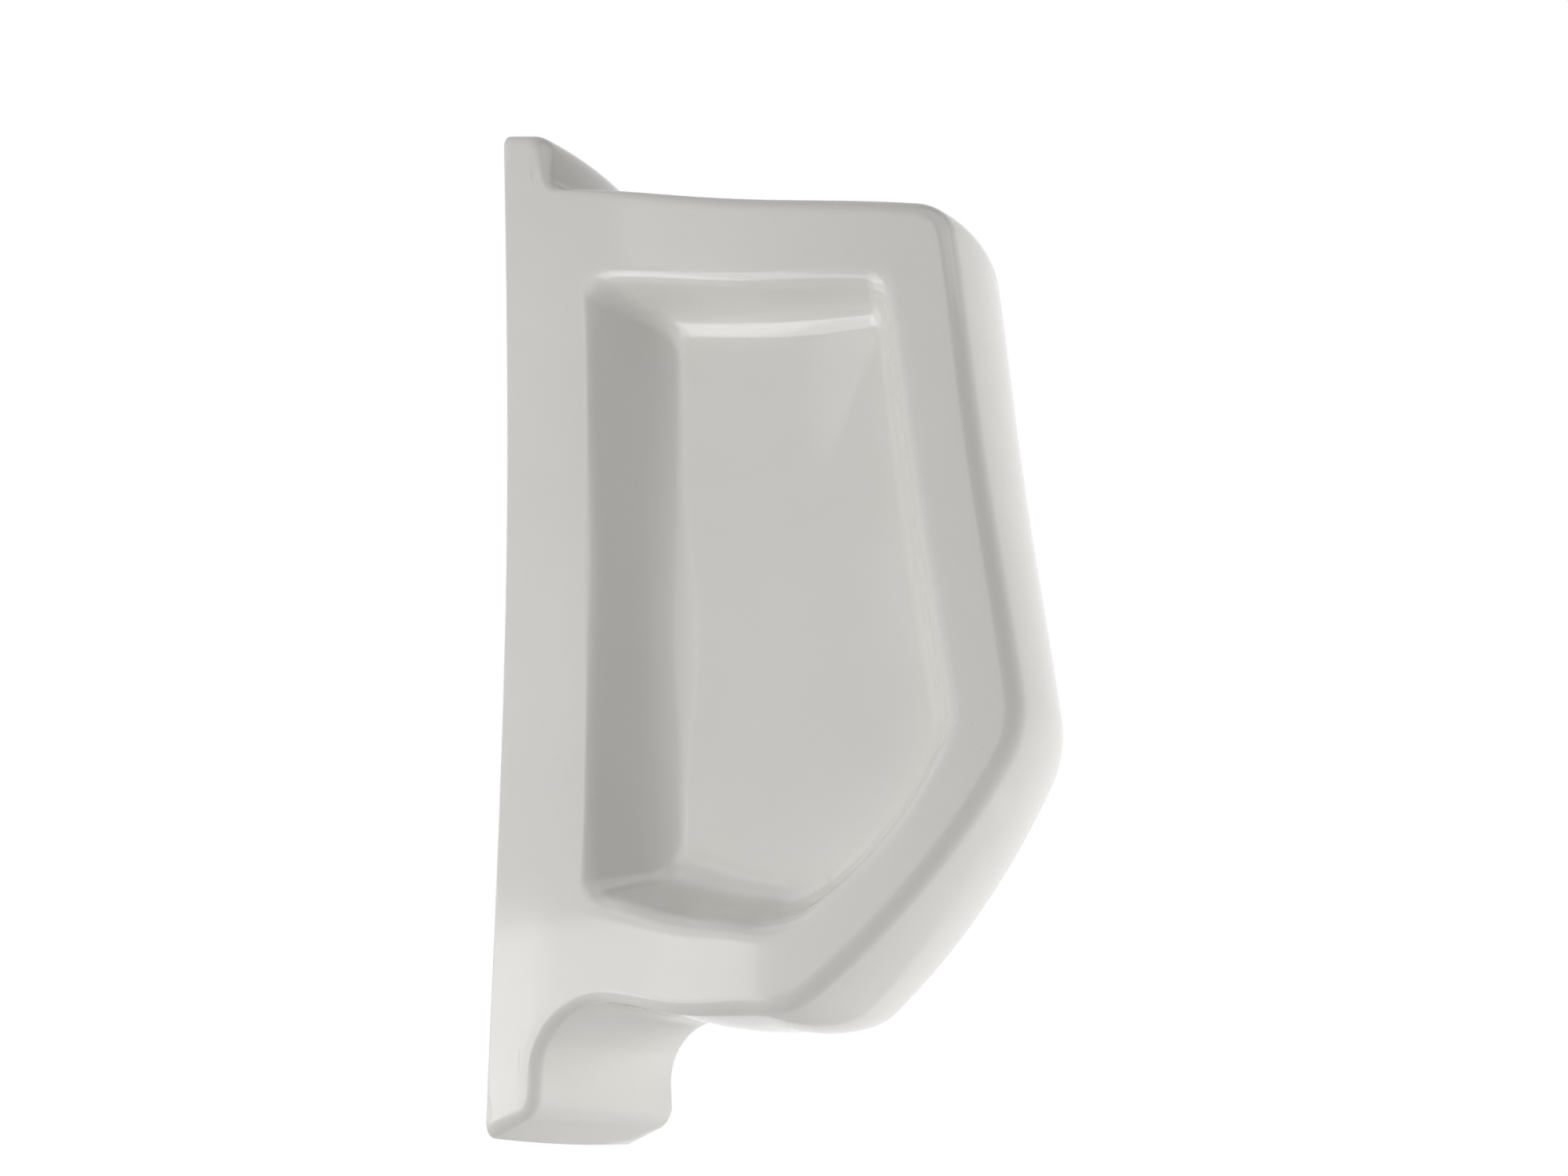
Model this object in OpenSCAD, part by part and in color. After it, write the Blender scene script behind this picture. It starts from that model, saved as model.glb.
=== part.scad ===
// Wall-hung privacy screen of glazed vitreous china, fitted between two urinals.
//
// x runs out from the wall, y across the screen's thickness and z up.
// Heights in the side view are measured from the lowest edge of the foot.
// The finished part has its origin on the wall, midway between the screw
// holes of the hanger bracket.
//
// The china is one casting. Its side view is a closed outline of corners,
// each rounded by an arc. A cross-section is carried round that outline: the
// floor of the recess, its sloping wall, the border, the rounded edge and the
// crowned edge face, then the same again on the other side.

/* [Wall flange and foot] */
// Height of the wall flange
flange_h = 653.5; // [630:0.5:680]
// Depth of the flange, from the wall to its front face
flange_d = 32.7; // [30:0.1:37]
// Fall of the flange's top edge, from the wall to its front
flange_fall = 8.5; // [4:0.5:14]
// Half of the flange's width at its waist
waist_half = 71.8; // [68:0.2:80]
// Height of the waist
waist_z = 365; // [340:1:400]
// Softness of the waist, from a sharp bend to a long curve
waist_soft = 0.5; // [0.2:0.1:1]
// How much wider each side of the flange is at the foot than at the waist
flare = 14; // [0:0.5:18]
// Length of each side that the rounding of the flange's top takes up, at its front
crest_set = 14; // [6:1:18]
// Rise of the foot's bottom edge, from the wall to its front
foot_rise = 12.5; // [6:0.5:15]
// Height at which the panel's underside meets the foot
foot_h = 77.5; // [68:0.5:84]
// Radius of the cove between the foot and the underside
cove_r = 45; // [34:1:48]
// Radius of the small cove between the flange and the panel's top
neck_r = 12; // [6:1:15]

/* [Panel outline] */
// Height at which the panel's top meets the flange
shoulder_z = 605.5; // [590:0.5:612]
// Sag of the panel's top between its corners
top_sag = 3.5; // [0:0.5:5]
// Distance of the top front corner from the wall
brow_x = 297.5; // [285:0.5:305]
// Height of the top front corner
brow_z = 539; // [530:1:560]
// Length of each side that the top front corner's rounding takes up
brow_set = 20; // [12:1:30]
// Distance of the foremost corner from the wall
nose_x = 322.5; // [315:0.5:335]
// Height of the foremost corner
nose_z = 207; // [196:1:220]
// Length of each side that the foremost corner's rounding takes up
nose_set = 20.5; // [10:0.5:28]
// How far the front edge is hollow between its corners
front_sag = 2; // [0:0.5:3.5]
// Distance of the bottom front corner from the wall
heel_x = 185; // [178:1:195]
// Height of the bottom front corner
heel_z = 58.5; // [48:0.5:65]
// Length of each side that the bottom front corner's rounding takes up
heel_set = 18; // [12:1:26]
// Bulge of the underside between the foot and that corner
under_bulge = 3.8; // [0:0.2:5]
// How far the slanting edge between nose and heel bulges
belly_bulge = 9; // [4:0.5:14]
// How much thinner each side of the panel is at its foremost corner
taper = 31.4; // [20:0.2:35]

/* [Edges] */
// Radius of the panel's edges
panel_edge_r = 8.5; // [5:0.5:11]
// Radius of the edges of the foot
foot_edge_r = 6; // [4:1:9]
// Radius of the foot's bottom corners at the wall
foot_corner_r = 10; // [4:1:12]
// Radius of the flange's edges where the panel's top meets them
flange_edge_r = 6.5; // [4:0.5:9]
// Radius of the edges of the flange's top, at its front
crest_edge_r = 11; // [6:0.5:11.5]
// Radius of the flange's top corners at the wall
flange_corner_r = 11.5; // [5:0.5:11.5]
// Crown of the panel's and the flange's top, across the thickness
top_crown = 7.5; // [2:0.5:10]
// Crown of the front and slanting edges, across the thickness
front_crown = 6.5; // [2:0.5:8]
// Crown of the foot's bottom, across the thickness
foot_crown = 2; // [0:0.5:4]

/* [Recess on each side] */
// Half of the china's thickness at the floor of the recess
floor_half = 30; // [26:1:34]
// Distance of the recess from the wall
border_wall = 60.5; // [56:0.5:70]
// Width of the border along the panel's top, at the flange
border_top_back = 62.5; // [56:0.5:66]
// Width of the border along the panel's top, at the front
border_top_front = 54; // [50:1:62]
// Width of the border along the front edge, at its top
border_front_top = 43.5; // [36:0.5:48]
// Width of the border along the front edge, at the foremost corner
border_front_low = 39.5; // [32:0.5:45]
// Width of the border beside the slanting edge's chord, at its upper end
border_belly_high = 31; // [28:1:38]
// Width of the border beside the slanting edge's chord, at its lower end
border_belly_low = 34; // [30:1:40]
// Width of the border along the underside, at the front
border_under_front = 44; // [40:0.5:52]
// Width of the border along the underside, at the wall
border_under_back = 60; // [54:0.5:66]
// How far the recess bulges along the slanting edge
recess_bulge = 8; // [2:0.5:11]
// Width of the recess's sloping side next to the wall flange, at its top
slope_wall_high = 40; // [28:1:46]
// Width of that side at its foot
slope_wall_low = 34.5; // [24:0.5:40]
// Width of the recess's sloping side at the top
slope_top = 12; // [8:1:20]
// Width of the recess's sloping side along the front and slanting edges
slope_front = 8; // [5:1:12]
// Width of the recess's sloping side at the bottom
slope_under = 18; // [12:1:26]
// Reach of the soft fillet at the floor of the recess, next to the wall flange
floor_fillet_wall = 21; // [12:1:24]
// Reach of that fillet at the top's front end
floor_fillet_top = 18; // [10:1:20]
// Reach of that fillet along the front and slanting edges
floor_fillet_front = 10; // [6:1:12]
// Reach of the rounding at the rim of the recess
rim_fillet = 6; // [3:1:8]
// Reach of that rounding at the top of the recess
rim_fillet_top = 10; // [6:1:12]
// Reach of that rounding at the bottom of the recess
rim_fillet_low = 9; // [5:1:11]

/* [Hollow and back] */
// Thickness of the china's wall
wall_t = 9; // [7:1:10]
// Depth of the hollow behind the wall flange's rim
back_d = 5; // [4:0.5:7]
// Thickness of the web behind that hollow
web_t = 10; // [8:1:12]
// Width of the ground rim at the waist
rim_w = 14; // [10:1:18]
// Radius of that hollow's corners
back_corner_r = 12; // [8:1:16]
// Height of the hanger bracket's screw line
hanger_z = 500; // [470:1:530]
// Height of the window's top edge above that line
window_rise = 21; // [18:1:26]
// Width of the window for the hanger bracket
window_w = 104; // [100:1:110]
// Height of that window
window_h = 56; // [52:1:60]
// Radius of the window's corners
window_corner_r = 6; // [4:1:10]
// Diameter of the access hole in the underside
access_d = 34; // [26:1:38]
// Distance of the access hole from the wall
access_x = 102; // [95:1:110]
// Diameter of the two drain holes in the web
drain_d = 24; // [16:1:30]
// Distance of each drain hole above and below the middle of the web
drain_reach = 90; // [60:5:110]

/* [Hanger bracket] */
// Thickness of the bracket's steel
steel_t = 2.5; // [2:0.5:3]
// Width of the hanger bracket's wall plate
hanger_w = 98; // [94:1:100]
// How far the wall plate reaches above the screw line
hanger_above = 12; // [10:1:14]
// How far the wall plate reaches below the screw line
hanger_below = 16; // [12:1:20]
// Radius of the corners of both wall plates
plate_corner_r = 5; // [3:1:8]
// Inner radius of the hook's bends
bend_r = 1.5; // [1:0.5:2]
// Width of its hook
hook_w = 60; // [50:1:64]
// Length of the hook's tongue above its shelf
tongue_h = 18; // [12:1:24]
// Distance between the two screw holes
screw_gap = 78; // [74:1:80]
// Diameter of the screw holes in both brackets
screw_d = 7; // [6:0.5:8]
// Thickness of the rubber between the china and the shelf
pad_t = 2; // [1.5:0.5:3]
// Thickness of the rubber between the china and the tongue
pad_side_t = 1.5; // [1:0.5:2]
// How much narrower the rubber is than the hook, on each side
pad_inset = 2; // [1:0.5:4]

/* [Lower fixing] */
// Height of the lower fixing
stud_z = 118; // [112:1:126]
// Diameter of the threaded stud
stud_d = 8; // [6:1:10]
// Length of the stud in front of its wall plate
stud_l = 32; // [30:1:40]
// Diameter of the hole for the stud in the web
stud_hole_d = 20; // [18:1:24]
// Width of the lower wall plate
plate_w = 90; // [84:1:96]
// Height of the lower wall plate
plate_h = 28; // [24:1:32]
// Distance between the lower plate's screw holes
plate_gap = 64; // [60:1:68]
// Diameter of the rubber bush's flange
bush_flange_d = 30; // [28:1:34]
// Thickness of that flange
bush_flange_t = 2; // [1.5:0.5:3]
// Diameter of the steel washer
washer_d = 24; // [20:1:28]
// Thickness of the steel washer
washer_t = 1.6; // [1:0.2:2]
// Thickness of the wing nut's wall round its bore
nut_wall = 3; // [2:0.5:4]
// Length of the wing nut's hub
nut_h = 8; // [6:1:10]
// Distance from the nut's axis to the end of each wing
wing_reach = 15; // [13:1:18]
// Radius of each wing's round end
wing_r = 6; // [5:0.5:7]
// Thickness of the wings
wing_t = 3; // [2:0.5:4]
// Clearance round the stud and round the bush
fit_gap = 0.1; // [0.05:0.05:0.3]

/* [Hidden] */
$fn = 48;

china = [0.93, 0.93, 0.91];
steel = [0.62, 0.63, 0.65];
zinc = [0.75, 0.76, 0.78];
black_rubber = [0.13, 0.13, 0.14];

grind = 4;                      // china cast behind the wall plane and ground off
ground = 2 * (grind + top_crown);
web_x = back_d + web_t;         // front of the web
window_top = hanger_z + window_rise;  // edge of the window that rests on the hook
shelf_z = window_top - pad_t;   // top of the hook's shelf
tongue_x = web_x + pad_side_t;  // back of the hook's tongue
back_half = waist_half - rim_w; // half of the width of the hollow in the back
edge_in = 12.5;                 // from the edges to the border's outer line
flank_ends = [0.14, 0.26];      // share of a recess's wall side below its extra corners
flank_tops = [0.88, 0.78];      // and the same for those at its top
hollow_ends = [35, 60];         // extra corners of the panel's hollow, from its ends
hollow_fillet = 6;              // reach of the fillets inside the hollow
stand_off = 0.6 * wall_t;       // from the recess's corner lines to the hollow's
room = 0.92;                    // the most of a facet's length that a rounding may take
floor_room = 0.55;              // and of a recess side, the most that its floor fillet
rim_room = 0.4;                 // and the rounding at its rim may take
overcut = 1;                    // how far a cutting tool reaches past a face

// ---------------------------------------------------------------- flat outlines

// A corner of an outline is [x, z, setback, edge radius, crown]. The setback is
// the length of each side that its arc takes up. All outlines run the same way
// round, and have a corner for each entry here, with that many arc steps, and
// with that many points spread along the side that follows.
arc_steps = [1, 3, 6, 5, 6, 4, 5, 3, 3, 1];
side_points = [0, 1, 3, 0, 0, 4, 4, 0, 0, 7];
side_bows = [0, 0, under_bulge, 0, 0, -front_sag, -top_sag, 0, 0, 0];
corners = len(arc_steps);

function unit(v) = v / norm(v);
function mix(a, b, f) = a * (1 - f) + b * f;
function xz(c) = [c[0], c[1]];
function inward(a, b) = let (u = unit(xz(b) - xz(a))) [-u[1], u[0]];

// Where the line through a and b, moved inwards by d, meets the line through p
// and q, moved inwards by e.
function meet(a, b, d, p, q, e) =
    let (n = inward(a, b), m = inward(p, q),
         s = n * (xz(a) + d * n), t = m * (xz(p) + e * m),
         det = n[0] * m[1] - n[1] * m[0])
    [(s * m[1] - t * n[1]) / det, (t * n[0] - s * m[0]) / det];

// The outline moved inwards by d, with each arc's radius changed to suit.
function inset(list, d) =
    [for (i = [0 : corners - 1])
        let (a = list[(i + corners - 1) % corners], b = list[i],
             c = list[(i + 1) % corners],
             n = inward(a, b), m = inward(b, c), turn = n[0] * m[1] - n[1] * m[0],
             k = 1 / (1 + n * m),
             p = xz(b) + d * k * (n + m))
        [p[0], p[1], max(1, b[2] - d * k * turn), b[3], b[4]]];

// A circular arc as a rational quadratic curve with its corner at k.
function arc_point(a, k, b, u) =
    let (along = unit(k - a) * unit(b - k), w = sqrt(max(0, (1 + along) / 2)),
         f = (1 - u) * (1 - u), g = 2 * u * (1 - u) * w, h = u * u)
    (f * a + g * k + h * b) / (f + g + h);

// The points of an outline, each [x, z, edge radius, crown]. A side that bows
// outwards does so by its side_bows times f.
function trace(list, f) =
    [for (i = [0 : corners - 1])
        let (a = list[(i + corners - 1) % corners], b = list[i],
             c = list[(i + 1) % corners],
             start = xz(b) + b[2] * unit(xz(a) - xz(b)),
             end = xz(b) + b[2] * unit(xz(c) - xz(b)),
             next = xz(c) + c[2] * unit(xz(b) - xz(c)))
        for (j = [0 : arc_steps[i] + side_points[i]])
            let (over = max(0, j - arc_steps[i]) / (side_points[i] + 1),
                 bow = f * side_bows[i] * pow(sin(180 * over), 2),
                 p = j <= arc_steps[i] ? arc_point(start, xz(b), end, j / arc_steps[i])
                                       : mix(end, next, over) - bow * inward(b, c))
            [p[0], p[1], mix(b[3], c[3], over), mix(b[4], c[4], over)]];

// Half of the china's thickness at a place in the side view.
function half(x, z) =
    let (f = x / nose_x, g = (z - waist_z) / waist_z,
         spread = (norm([g, waist_soft]) - waist_soft) / (norm([1, waist_soft]) - waist_soft))
    waist_half + flare * spread * (1 - f) - taper * f * f;

function foot_line(x) = foot_rise * x / flange_d;
function crest_line(x) = flange_h - flange_fall * x / flange_d;

heel = [heel_x, heel_z];
nose = [nose_x, nose_z];
brow = [brow_x, brow_z];
instep = [flange_d, foot_h];
shoulder = [flange_d, shoulder_z];

// The corner of the long arc between heel and nose: an arc stands about half as
// far off its chord as its corner does.
belly = (heel + nose) / 2 - 2 * belly_bulge * inward(heel, nose);
belly_set = norm(belly - nose) - nose_set - 3;
cove_set = cove_r * 0.94;

outline = [
    [-grind, foot_line(-grind), 2, foot_corner_r, foot_crown],
    [flange_d, foot_rise, 6, foot_edge_r, 0],
    [instep[0], instep[1], cove_set, foot_edge_r, 0],
    [heel[0], heel[1], heel_set, panel_edge_r, front_crown],
    [belly[0], belly[1], belly_set, panel_edge_r, front_crown],
    [nose[0], nose[1], nose_set, panel_edge_r, front_crown],
    [brow[0], brow[1], brow_set, panel_edge_r, front_crown],
    [shoulder[0], shoulder[1], neck_r, flange_edge_r, top_crown],
    [flange_d, crest_line(flange_d), crest_set, crest_edge_r, top_crown],
    [-grind, crest_line(-grind), 2, flange_corner_r, top_crown]
];

// ---------------------------------------------------------------- the recess

wall_side = [border_wall, 0];
wall_side_up = [border_wall, 1];

// A closed line round the recess, moved in from the rim by the given widths at
// the wall side's foot and top, at the top, along the front and at the bottom.
// The wall side has two more corners at each end, so that the border can be
// joined to the foot and to the flange. sets and fillets are for the corners at
// the wall side's foot, the bottom's front end, the foremost corner, the top's
// front end and the wall side's top, and the last fillet for the wall side itself.
function pocket(in_low, in_high, in_top, in_front, in_under, sets, fillets) =
    let (low = meet(wall_side_up, wall_side, in_low,
                    instep, heel, border_under_back + in_under),
         toe = meet(instep, heel, border_under_front + in_under,
                    heel, nose, border_belly_low + in_front),
         tip = meet(heel, nose, border_belly_high + in_front,
                    nose, brow, border_front_low + in_front),
         top = meet(nose, brow, border_front_top + in_front,
                    brow, shoulder, border_top_front + in_top),
         high = meet(brow, shoulder, border_top_back + in_top,
                     wall_side_up, wall_side, in_high),
         bulge = (toe + tip) / 2 - 2 * recess_bulge * inward(toe, tip),
         bulge_set = norm(bulge - tip) - sets[2] - 6,
         side = [for (f = concat(flank_ends, flank_tops)) mix(low, high, f)])
    [[side[1][0], side[1][1], 8, fillets[5], 0],
     [side[0][0], side[0][1], 8, fillets[5], 0],
     [low[0], low[1], sets[0], fillets[0], 0],
     [toe[0], toe[1], sets[1], fillets[1], 0],
     [bulge[0], bulge[1], bulge_set, fillets[2], 0],
     [tip[0], tip[1], sets[2], fillets[2], 0],
     [top[0], top[1], sets[3], fillets[3], 0],
     [high[0], high[1], sets[4], fillets[4], 0],
     [side[2][0], side[2][1], 8, fillets[5], 0],
     [side[3][0], side[3][1], 8, fillets[5], 0]];

floor_fillet_mid = mix(floor_fillet_wall, floor_fillet_front, 0.6);
rim = pocket(0, 0, 0, 0, 0, [12, 24, 16, 14, 18],
             [rim_fillet_low, rim_fillet_low, rim_fillet, rim_fillet_top,
              rim_fillet_top, rim_fillet]);
recess_floor = pocket(slope_wall_low, slope_wall_high, slope_top, slope_front,
                      slope_under, [8, 16, 10, 8, 12],
                      [floor_fillet_wall, floor_fillet_mid, floor_fillet_front,
                       floor_fillet_top, floor_fillet_wall, floor_fillet_wall]);

// ---------------------------------------------------------------- the border

// The outline moved in past the rounding of the edges, but not at the wall.
function edge_line(list) =
    let (moved = inset(list, edge_in))
    [for (i = [0 : corners - 1])
        let (p = moved[i])
        i == 0 || i == corners - 1 ? [1 - grind, p[1], 1, 0, 0]
                                   : [p[0], p[1], p[2], 0, 0]];

// A line across the border, halfway to the rim. Beside the flange it keeps clear
// of the coves at the foot and the neck: there it has places of its own.
flank_x = [0.35 * flange_d, 0.58 * flange_d, flange_d + 12];
flank_low = [instep[1] + 20, instep[1] + 5, instep[1] + 33];
flank_high = [shoulder[1] - 25, shoulder[1] - 10, shoulder[1] - 34];
function border(edge) =
    [for (i = [0 : corners - 1])
        let (j = corners - 1 - i,
             p = i < 3 ? [flank_x[i], flank_low[i]]
               : j < 3 ? [flank_x[j], flank_high[j]]
               : mix(xz(edge[i]), xz(rim[i]), 0.5))
        [p[0], p[1], i < 2 || j < 2 ? 4 : mix(edge[i][2], rim[i][2], 0.5), 0, 0]];

// ---------------------------------------------------------------- cross-section

// An arc of the given reach between the directions to the points before and
// after k, in space.
function rounded(before, k, after, reach, steps) =
    [for (j = [0 : steps])
        arc_point(k + reach * unit(before - k), k, k + reach * unit(after - k), j / steps)];

// Half of the section at one point of the outline, from the recess floor to the
// middle of the edge face. face = [centre, floor, rim, border, edge line, edge]
// as points of the side view, out = the outward direction there, skin = how far
// the whole surface lies inside the china's outer face, and reach = how far the
// fillets at the floor and at the edge run, or 0 for the lines' own values.
function section(face, out, skin, reach, steps) =
    let (y = [for (k = [0 : 5]) k < 2 ? skin - floor_half
                                      : skin - half(face[k][0], face[k][1])],
         p = [for (k = [0 : 5]) [face[k][0], y[k], face[k][1]]],
         edge = face[5],
         rise = edge[3] * out,
         shoulder_pt = [edge[0] + 0.75 * rise[0], y[5] / 2, edge[1] + 0.75 * rise[1]],
         crest_pt = [edge[0] + rise[0], 0, edge[1] + rise[1]],
         slope = norm(p[2] - p[1]))
    concat(rounded(p[0], p[1], p[2],
                   reach[0] > 0 ? reach[0] : min(face[1][2], floor_room * slope), steps[0]),
           rounded(p[1], p[2], p[3],
                   min(face[2][2], rim_room * slope, room * norm(p[3] - p[2])), steps[1]),
           [p[3], p[4]],
           rounded(p[4], p[5], shoulder_pt,
                   min(reach[1] > 0 ? reach[1] : edge[2], room * norm(p[4] - p[5])), steps[2]),
           [shoulder_pt, crest_pt]);

function mirrored(half_section) =
    concat(half_section,
           [for (k = [len(half_section) - 2 : -1 : 0])
               let (p = half_section[k]) [p[0], -p[1], p[2]]]);

// The closed surface carried round the outline, with a fan on each floor.
module lofted(floor_c, rim_c, border_c, line_c, edge_c, skin, reach, steps) {
    rings = [trace(floor_c, 0.4), trace(rim_c, 0.8), trace(border_c, 0.9),
             trace(line_c, 1), trace(edge_c, 1)];
    n = len(rings[0]);
    middle = [for (k = [0, 1]) [for (p = rings[0]) p[k]] * [for (p = rings[0]) 1 / n]];
    strips = [for (i = [0 : n - 1])
        let (a = xz(rings[4][(i + n - 1) % n]), b = xz(rings[4][(i + 1) % n]),
             face = concat([middle], [for (r = rings) r[i]]))
        mirrored(section(face, -inward(a, b), skin, reach, steps))];
    m = len(strips[0]);
    near = n * m;
    points = concat([for (s = strips) each s],
                    [[middle[0], skin - floor_half, middle[1]],
                     [middle[0], floor_half - skin, middle[1]]]);
    faces = concat(
        [for (i = [0 : n - 1])
            let (a = i * m, b = ((i + 1) % n) * m)
            for (k = [0 : m - 2])
                each [[a + k, b + k, a + k + 1], [b + k, b + k + 1, a + k + 1]]],
        [for (i = [0 : n - 1])
            let (a = i * m, b = ((i + 1) % n) * m)
            each [[near, b, a], [near + 1, a + m - 1, b + m - 1]]]);
    polyhedron(points, faces);
}

// ---------------------------------------------------------------- china

module china_blank() {
    line = edge_line(outline);
    lofted(recess_floor, rim, border(line), line, outline,
           0, [0, 0], [4, 3, 4]);
}

// The hollow inside the panel. It follows the panel's edges and the recess, and
// leaves the foot and the flange's top solid.
module china_hollow() {
    inner = inset(outline, wall_t);
    side = [web_x, 0];
    side_up = [web_x, 1];
    low = meet(side_up, side, 0, instep, heel, wall_t);
    high = meet(side_up, side, 0, brow, shoulder, wall_t);
    hollow = [
        [web_x, low[1] + hollow_ends[1], 8, 0, 0],
        [web_x, low[1] + hollow_ends[0], 8, 0, 0],
        [web_x, low[1], 12, 0, 0],
        inner[3], inner[4], inner[5], inner[6],
        [web_x, high[1], 12, 0, 0],
        [web_x, high[1] - hollow_ends[0], 8, 0, 0],
        [web_x, high[1] - hollow_ends[1], 8, 0, 0]
    ];
    bare_rim = inset(rim, -stand_off);
    bare_floor = inset(recess_floor, -stand_off);
    blend = function (f) [for (i = [0 : corners - 1]) mix(hollow[i], bare_rim[i], f)];
    lofted(bare_floor, bare_rim, blend(0.7), blend(0.3), hollow,
           wall_t, [hollow_fillet, hollow_fillet], [2, 2, 2]);
}

// A rectangle with round corners in the wall plane, as a plate from x to x + d.
module wall_slab(x, d, w, z_low, z_high, r) {
    for (y = [-1, 1], z = [z_low + r, z_high - r])
        translate([x, y * (w / 2 - r), z]) rotate([0, 90, 0]) cylinder(h = d, r = r);
    translate([x, -w / 2, z_low + r]) cube([d, w, z_high - z_low - 2 * r]);
    translate([x, r - w / 2, z_low]) cube([d, w - 2 * r, z_high - z_low]);
}

module wall_hole(x, y, z, d, length) {
    translate([x, y, z]) rotate([0, 90, 0]) cylinder(h = length, d = d);
}

module screen_body() {
    mid_z = (stud_z + hanger_z) / 2;
    back_end = rim_w + foot_crown;
    cut_x = back_d - overcut;
    cut_d = web_t + 3 * overcut;
    color(china)
    difference() {
        china_blank();
        china_hollow();
        translate([-ground, -waist_half - 2 * flare, -flange_h / 2])
            cube([ground, 2 * waist_half + 4 * flare, 2 * flange_h]);
        wall_slab(-overcut, back_d + overcut, 2 * back_half, back_end,
                  flange_h - back_end, back_corner_r);
        wall_slab(cut_x, cut_d, window_w, window_top - window_h, window_top, window_corner_r);
        wall_hole(cut_x, 0, stud_z, stud_hole_d, cut_d);
        for (up = [-1, 1])
            wall_hole(cut_x, 0, mid_z + up * drain_reach, drain_d, cut_d);
        translate([access_x, 0, heel_z / 2]) cylinder(h = foot_h, d = access_d);
    }
}

// ---------------------------------------------------------------- hanger

// A quarter bend of steel sheet about a centre, in the plane of x and z.
module bend(cx, cz, inner, turn) {
    translate([cx, cz]) rotate(turn) intersection() {
        difference() {
            circle(r = inner + steel_t);
            circle(r = inner);
        }
        square(inner + steel_t + 1);
    }
}

// The hook's section: up the wall, out through the window, up behind the web.
module hook_section() {
    out_x = steel_t + bend_r;
    up_x = tongue_x - bend_r;
    under = shelf_z - steel_t;
    foot = hanger_z - hanger_below;
    translate([0, foot]) square([steel_t, under - bend_r - foot]);
    bend(out_x, under - bend_r, bend_r, 90);
    translate([out_x, under]) square([up_x - out_x, steel_t]);
    bend(up_x, shelf_z + bend_r, bend_r, 270);
    translate([tongue_x, shelf_z + bend_r]) square([steel_t, tongue_h - bend_r]);
}

module hanger_bracket() {
    color(steel)
    difference() {
        union() {
            translate([0, hook_w / 2, 0]) rotate([90, 0, 0])
                linear_extrude(hook_w) hook_section();
            wall_slab(0, steel_t, hanger_w, hanger_z - hanger_below, hanger_z + hanger_above,
                      plate_corner_r);
        }
        for (side = [-1, 1])
            wall_hole(-overcut, side * screw_gap / 2, hanger_z, screw_d,
                      steel_t + 2 * overcut);
    }
}

// A rubber angle that lies on the shelf and stands against the tongue.
module hook_liner() {
    top = shelf_z + tongue_h;
    width = hook_w - 2 * pad_inset;
    color(black_rubber)
    translate([0, width / 2, 0]) rotate([90, 0, 0])
        linear_extrude(width)
            polygon([[back_d, shelf_z], [tongue_x - bend_r, shelf_z],
                     [tongue_x, shelf_z + bend_r], [tongue_x, top],
                     [web_x, top], [web_x, window_top], [back_d, window_top]]);
}

// ---------------------------------------------------------------- lower fixing

module lower_plate() {
    land = 1;                   // straight part of each screw hole, at the wall
    sink = steel_t - land + overcut;
    color(steel)
    difference() {
        wall_slab(0, steel_t, plate_w, stud_z - plate_h / 2, stud_z + plate_h / 2,
                  plate_corner_r);
        for (side = [-1, 1]) {
            wall_hole(-overcut, side * plate_gap / 2, stud_z, screw_d,
                      steel_t + 2 * overcut);
            translate([land, side * plate_gap / 2, stud_z]) rotate([0, 90, 0])
                cylinder(h = sink, r1 = screw_d / 2, r2 = screw_d / 2 + sink);
        }
    }
}

module lower_stud() {
    color(zinc)
    translate([steel_t, 0, stud_z]) rotate([0, 90, 0]) {
        cylinder(h = stud_l - 1, d = stud_d);
        translate([0, 0, stud_l - 1]) cylinder(h = 1, d1 = stud_d, d2 = stud_d - 2);
    }
}

// A sleeve in the web's hole with a flange on the hollow's side.
module stud_bush() {
    color(black_rubber)
    translate([back_d, 0, stud_z]) rotate([0, 90, 0])
    difference() {
        union() {
            cylinder(h = web_t, d = stud_hole_d - 2 * fit_gap);
            translate([0, 0, web_t]) cylinder(h = bush_flange_t, d = bush_flange_d);
        }
        stud_bore(web_t + bush_flange_t);
    }
}

module stud_washer() {
    color(zinc)
    translate([web_x + bush_flange_t, 0, stud_z]) rotate([0, 90, 0])
    difference() {
        cylinder(h = washer_t, d = washer_d);
        stud_bore(washer_t);
    }
}

// A nut that fingers can turn through the access hole.
module wing_nut() {
    hub_d = stud_d + 2 * nut_wall;
    wing_mid = wing_reach - wing_r;
    color(zinc)
    translate([web_x + bush_flange_t + washer_t, 0, stud_z])
    difference() {
        union() {
            rotate([0, 90, 0]) cylinder(h = nut_h, d1 = hub_d, d2 = hub_d - 2);
            for (side = [-1, 1])
                translate([nut_h - 1, side * wing_mid, -wing_t / 2]) {
                    cylinder(h = wing_t, r = wing_r);
                    translate([-wing_r / 2, side > 0 ? -wing_r : 0, 0])
                        cube([wing_r, wing_r, wing_t]);
                }
        }
        rotate([0, 90, 0]) stud_bore(nut_h + wing_r);
    }
}

// The bore for the stud through a piece of the given length.
module stud_bore(length) {
    translate([0, 0, -overcut])
        cylinder(h = length + 2 * overcut, d = stud_d + 2 * fit_gap);
}

// ---------------------------------------------------------------- assembly

module hung() {
    translate([0, 0, -hanger_z]) children();
}

hung() screen_body();
hung() hanger_bracket();
hung() hook_liner();
hung() lower_plate();
hung() lower_stud();
hung() stud_bush();
hung() stud_washer();
hung() wing_nut();
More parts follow.
